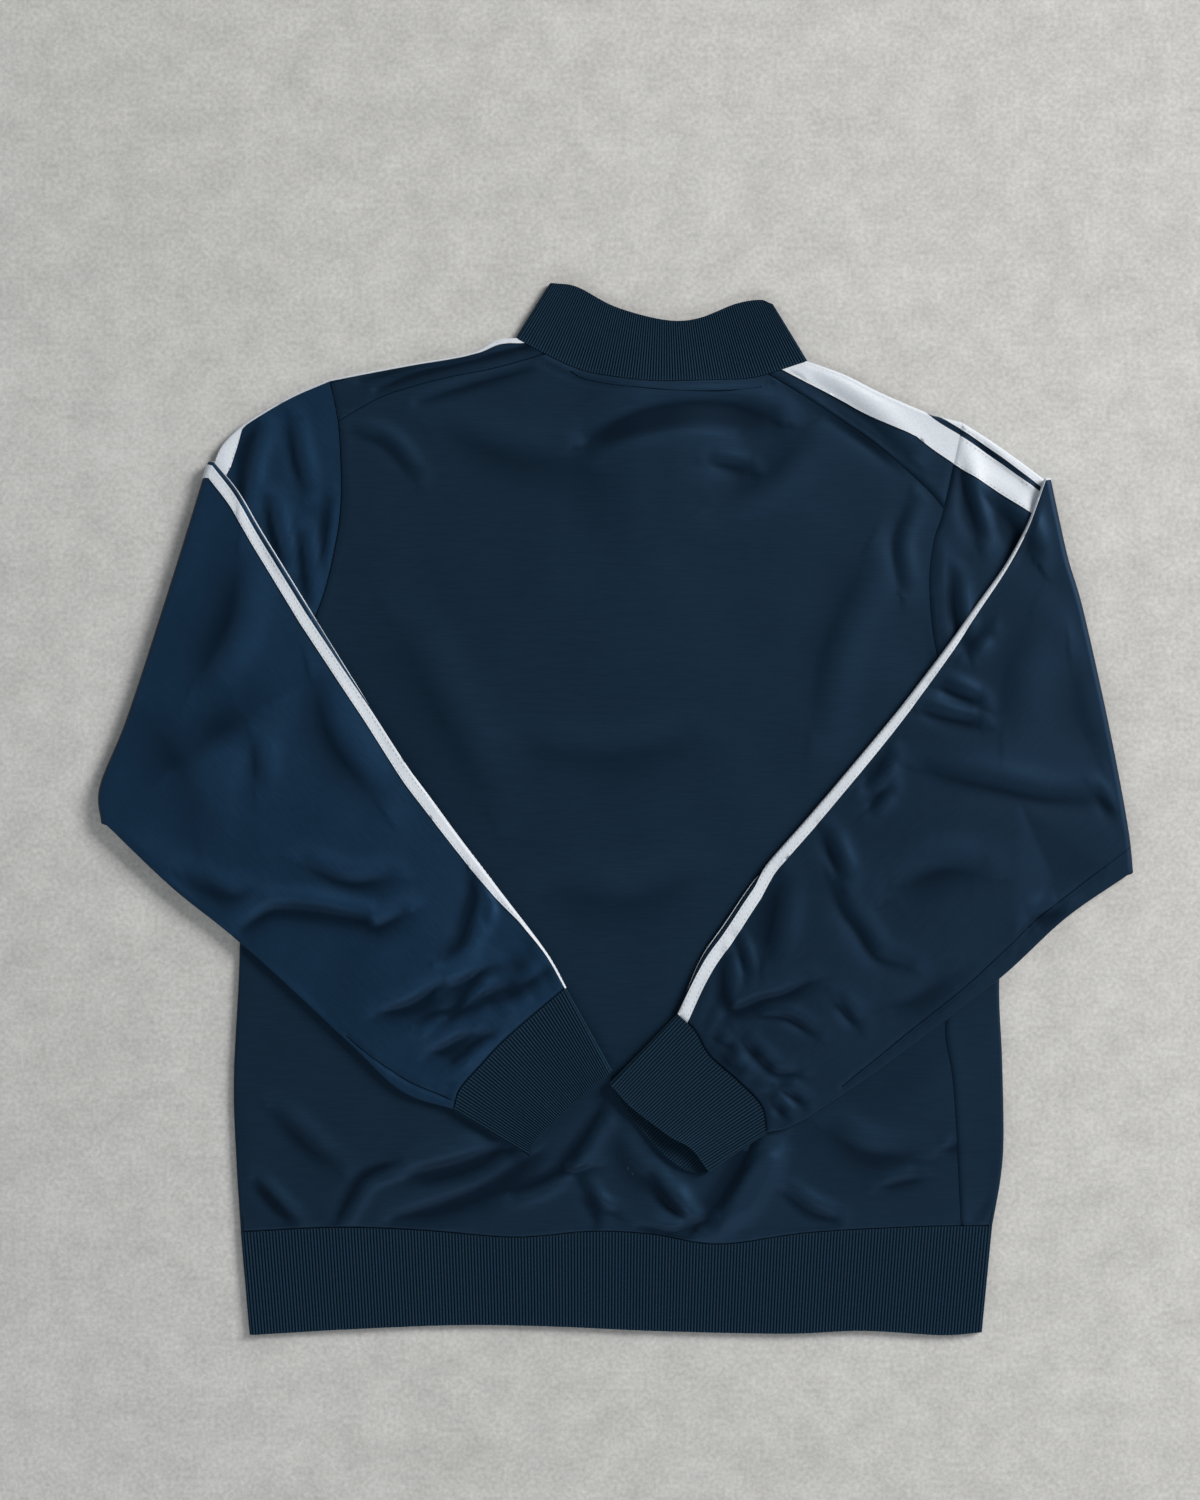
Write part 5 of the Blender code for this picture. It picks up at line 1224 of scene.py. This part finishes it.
def zip_teeth():
    points, faces = [], []
    corner = np.array([(a, b, c) for a in (0, 1) for b in (0, 1) for c in (0, 1)], float)
    box = [(0, 1, 3, 2), (4, 6, 7, 5), (0, 4, 5, 1), (2, 3, 7, 6), (0, 2, 6, 4), (1, 5, 7, 3)]
    for first_y, start_x in ((-360.5, -2.5), (-359.4, 0.2)):
        for y in np.arange(first_y, 246, 2.2):
            x = zip_x(y)
            faces += [tuple(len(points) * 8 + i for i in f) for f in box]
            points.append(corner * (2.3, 1.2, 0.18) + (x + start_x, y - 0.6, float(lift(x, y)) + 0.13))
    obj = dressed(mesh_object("zip_teeth", np.vstack(points), faces), "zip teeth")
    obj.data.shade_flat()
    return obj


# ---------------------------------------------------------------- build

MADE = {}


def painted_fold_shade(p, n, rows):
    """How much painted shade each point of the upper layer gets: -0.4 on a ridge (a painted highlight), 1 in a trough,
    0.75 on a folded edge (painted shade that dims its highlight).
    """
    deep = np.clip(-creases(p[:, :2], rows) / 2.6, -0.4, 1.0) * smooth(0.2, 0.6, n[:, 2]) if rows else 0
    return deep + 0.75 * smooth(0.94, 0.45, n[:, 2]) * (n[:, 2] > -0.2)


def vertex_normals(p, quads):
    across = np.cross(p[quads[:, 2]] - p[quads[:, 0]], p[quads[:, 3]] - p[quads[:, 1]])
    out = np.zeros_like(p)
    for k in range(4):
        np.add.at(out, quads[:, k], across)
    return unit(out + 1e-12)


def jersey(name, cloth, material, rows=()):
    """Makes a jersey piece, and gives back its points, directions, tags and quads."""
    p, _, w, u, quads = cloth.welded()
    n = vertex_normals(p, quads)
    # The valley tag sets painted shade in troughs and on folded edges, and painted highlight on ridges.
    MADE[name] = shell(name + "_cloth", p, n, quads, CLOTH, material, name, valley=painted_fold_shade(p, n, rows))
    return p, n, w, u, quads


def ribbed(name, p, d, valley, ring=False):
    cloth = Cloth()
    cloth.add(p, d, valley, ring=ring)
    p, n, w, _, quads = cloth.welded()
    MADE[name] = shell(name + "_cloth", p, n, quads, RIB, "navy rib", name, valley=w)


def on_surface(plan, data):
    """A plan line laid on the highest layer of a cloth."""
    p, n = data[0], data[1]
    up = n[:, 2] > 0.5
    near, near_n = p[up], n[up]
    out = []
    for x, y in plan:
        d = np.hypot(near[:, 0] - x, near[:, 1] - y)
        close = np.argsort(d)[:12]
        close = close[near[close, 2] > near[close, 2].max() - 2.0]
        weight = 1 / (d[close] + 0.2) ** 2
        z = (near[close, 2] * weight).sum() / weight.sum()
        out.append(np.r_[x, y, z, (near_n[close] * weight[:, None]).sum(0)])
    out = np.array(out)
    return out[:, :3], unit(out[:, 3:])


def tapes(side, where, data):
    """The two stripes, cut from the cloth's own points and moved out."""
    p, n, w, u, quads = data
    near = quads[(np.abs(w[quads]) < FAR).all(1)]
    values = (w - table(OUTLINES[side]["track" + where], u)) / table(OUTLINES[side]["bias" + where], u)
    for which, low, high in (("wide", -LINE / 2 - WIDE, -LINE / 2), ("narrow", LINE / 2, LINE / 2 + NARROW)):
        q, d, tris = band_between(p, n, near, values, low, high)
        name = "stripe_%s%s_%s" % (which, where, side)
        out = TAPE_LIFT + TAPE_WALL
        MADE[name] = shell(name + "_tape", q, d, tris, TAPE_WALL, "white tape", name, trim=0.05, outer=out)


back_cloth, hem_back = back_panel()
left_cloth, hem_left, neck_left = front_panel("left")
right_cloth, hem_right, neck_right = front_panel("right")
jersey("back", back_cloth, "navy body", BODY_CREASES)
jersey("front_left", left_cloth, "navy body")
jersey("front_right", right_cloth, "navy body")
white_lines, seam_threads = [], []

for side, grow, gape, rows in (("left", 0.7, 0.6, LEFT_CREASES), ("right", 1.25, 3.4, RIGHT_CREASES)):
    o = OUTLINES[side]
    tapes(side, "_yoke", jersey("yoke_" + side, yoke_panel(side), "navy yoke", BODY_CREASES))
    seam = curve(ends_in(o["cuff_seam"], TURN_HALF, TURN_HALF))
    p, d, w, u, last = sleeve_grid(side, seam, rows)
    cloth = Cloth()
    cloth.add(p, d, w, u, ring=True)
    data = jersey("sleeve_" + side, cloth, "navy %s sleeve" % side, rows)
    tapes(side, "", data)
    for offset in (-LINE / 2 - 1.6, -LINE / 2 - WIDE + 1.6, LINE / 2 + 1.6, LINE / 2 + NARROW - 1.6):
        path, normals = ring_path((p, d, w, u), o, offset, 0.004, 0.996)
        white_lines.append((path + normals * (TAPE_LIFT + TAPE_WALL), normals))
    seam_threads.append(on_surface(curve(o["underarm"])(np.linspace(0, 1, 300)), data))
    ribbed("cuff_" + side, *cuff_grid(last, o, grow, gape), ring=True)

for name, rows_of, length, pitch, step in (
    ("hem_band", hem_rows({"back": hem_back, "left": hem_left, "right": hem_right}), 68, 2.2, 10.0),
    ("collar", collar_rows({"left": neck_left, "right": neck_right}), 48, 2.0, 4.6),
):
    ribbed(name, *rib_ring(rows_of, length, pitch, graded(length, step)))

topstitch = curve([(-30, 305), (-21, 300), (-4, 296), (19, 293), (43, 291), (76, 291), (104, 294)])
neck_thread = [height_path(topstitch(np.linspace(0, 1, 400)), back_relief)]
# The underarm and neck stitches are near-black dashes: real stitch lines, darkened as painted shadow of their seam
# grooves.
dashes("stitches_and_shade_underarm", seam_threads, "seam shadow", pitch=1.9, length=1.85, wide=0.7, high=0.10)
dashes("stitches_and_shade_neck", neck_thread, "seam shadow", pitch=2.2, length=2.0, wide=0.8, high=0.12)
dashes("stitches_stripes", white_lines, "white thread", pitch=3.4, length=2.3, wide=0.5, high=0.22)
MADE["zip_teeth"] = zip_teeth()

for name, material in (
    ("zip_side_left", "zip tape cloth"), ("zip_side_right", "zip tape cloth"),
    ("zip_slider", "lacquered metal"), ("zip_pull", "lacquered metal"),
):
    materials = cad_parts[name].data.materials
    materials.clear()
    materials.append(bpy.data.materials[material])

# ---------------------------------------------------------------- floor, light, camera

bpy.ops.mesh.primitive_plane_add(size=6, location=(0, 0, -0.0002))
floor = bpy.context.object
floor.name = "floor"
tree, shader = shader_of("pale concrete")
place = node(tree, "TexCoord").outputs["Object"]
mottles = [
    node(tree, "TexNoise", {"Scale": scale, "Detail": detail, "Roughness": rough, "Vector": place}).outputs["Fac"]
    for scale, detail, rough in ((3.2, 8.0, 0.62), (34.0, 8.0, 0.72), (330.0, 3.0, 0.6))
]
pair = {"Color1": (0.435, 0.43, 0.412, 1), "Color2": (0.55, 0.547, 0.53, 1)}
grey = node(tree, "MixRGB", {**pair, "Fac": mottles[0]})
for noise, amount in zip(mottles[1:], (0.30, 0.34)):
    grey = node(tree, "MixRGB", {"Fac": amount, "Color1": grey.outputs["Color"], "Color2": noise}, "OVERLAY")
fill(tree, shader, {"Roughness": 0.75, "Base Color": grey.outputs["Color"]})
floor.data.materials.append(bpy.data.materials["pale concrete"])

scene = bpy.context.scene
scene.view_settings.view_transform = "Standard"
world = bpy.data.worlds.new("studio")
scene.world = world
world.use_nodes = True
background = world.node_tree.nodes["Background"]
fill(world.node_tree, background, {"Color": (0.90, 0.95, 1.0, 1), "Strength": 0.12})

# Each lamp faces the middle of the floor.
for name, (x, y, z), size, power, colour in (
    ("window", (3.6, 2.2, 2.45), (2.0, 1.7), 308, (1.0, 0.985, 0.97)),
    ("fill_left", (-2.8, 0.3, 1.7), (3.0, 1.8), 18, (0.92, 0.96, 1.0)),
    ("fill_near", (0.4, -2.8, 1.7), (3.0, 1.8), 48, (0.97, 0.98, 1.0)),
    ("fill_far", (-0.6, 2.8, 1.7), (3.0, 1.8), 8, (0.95, 0.97, 1.0)),
):
    lamp = bpy.data.lights.new(name, "AREA")
    lamp.shape, lamp.size, lamp.size_y = "RECTANGLE", *size
    lamp.energy, lamp.color = power, colour
    obj = bpy.data.objects.new(name, lamp)
    obj.location = (x, y, z)
    obj.rotation_euler = (math.atan2(math.hypot(x, y), z), 0, math.atan2(-y, -x) - math.pi / 2)
    scene.collection.objects.link(obj)

lens = bpy.data.cameras.new("camera")
lens.lens, lens.sensor_width, lens.sensor_fit = 51.43, 36, "VERTICAL"
lens.sensor_height = 36
camera = bpy.data.objects.new("camera", lens)
camera.location = (-0.0119, 0.0412, 1.5)
scene.collection.objects.link(camera)
scene.camera = camera

# ---------------------------------------------------------------- sheets

# The cut of each piece in metres: width and length of its rectangle, its own flat area, how it is held.
CUTS = {
    "front_left": (0.272, 0.590, 0.133, "laid", ()),
    "front_right": (0.292, 0.580, 0.134, "laid", ()),
    "back": (0.545, 0.615, 0.288, "laid", ("front_left", "front_right")),
    "yoke_left": (0.068, 0.155, 0.0070, "laid", ("front_left",)),
    "yoke_right": (0.125, 0.160, 0.0102, "laid", ("front_right",)),
    "sleeve_left": (0.555, 0.550, 0.184, "folded", ("back",)),
    "sleeve_right": (0.540, 0.530, 0.180, "folded", ("back",)),
    "cuff_left": (0.240, 0.068, 0.0137, "laid", ("back",)),
    "cuff_right": (0.240, 0.068, 0.0133, "laid", ("back",)),
    "hem_band": (1.045, 0.072, 0.0715, "laid", ()),
    "collar": (0.475, 0.062, 0.0262, "laid", ()),
}
ON = {"back": ["stitches_and_shade_neck"], "sleeve_left": ["stitches_stripes", "stitches_and_shade_underarm"], "front_left": ["zip_teeth"]}
for name, (width, length, area, held, under) in CUTS.items():
    taped = {"yoke": "stripe_%s_yoke_" + name[5:], "slee": "stripe_%s_" + name[7:]}.get(name[:4])
    pieces = [MADE[taped % which] for which in ("wide", "narrow")] if taped else []
    pieces += [MADE[extra] for extra in ON.get(name, ())]
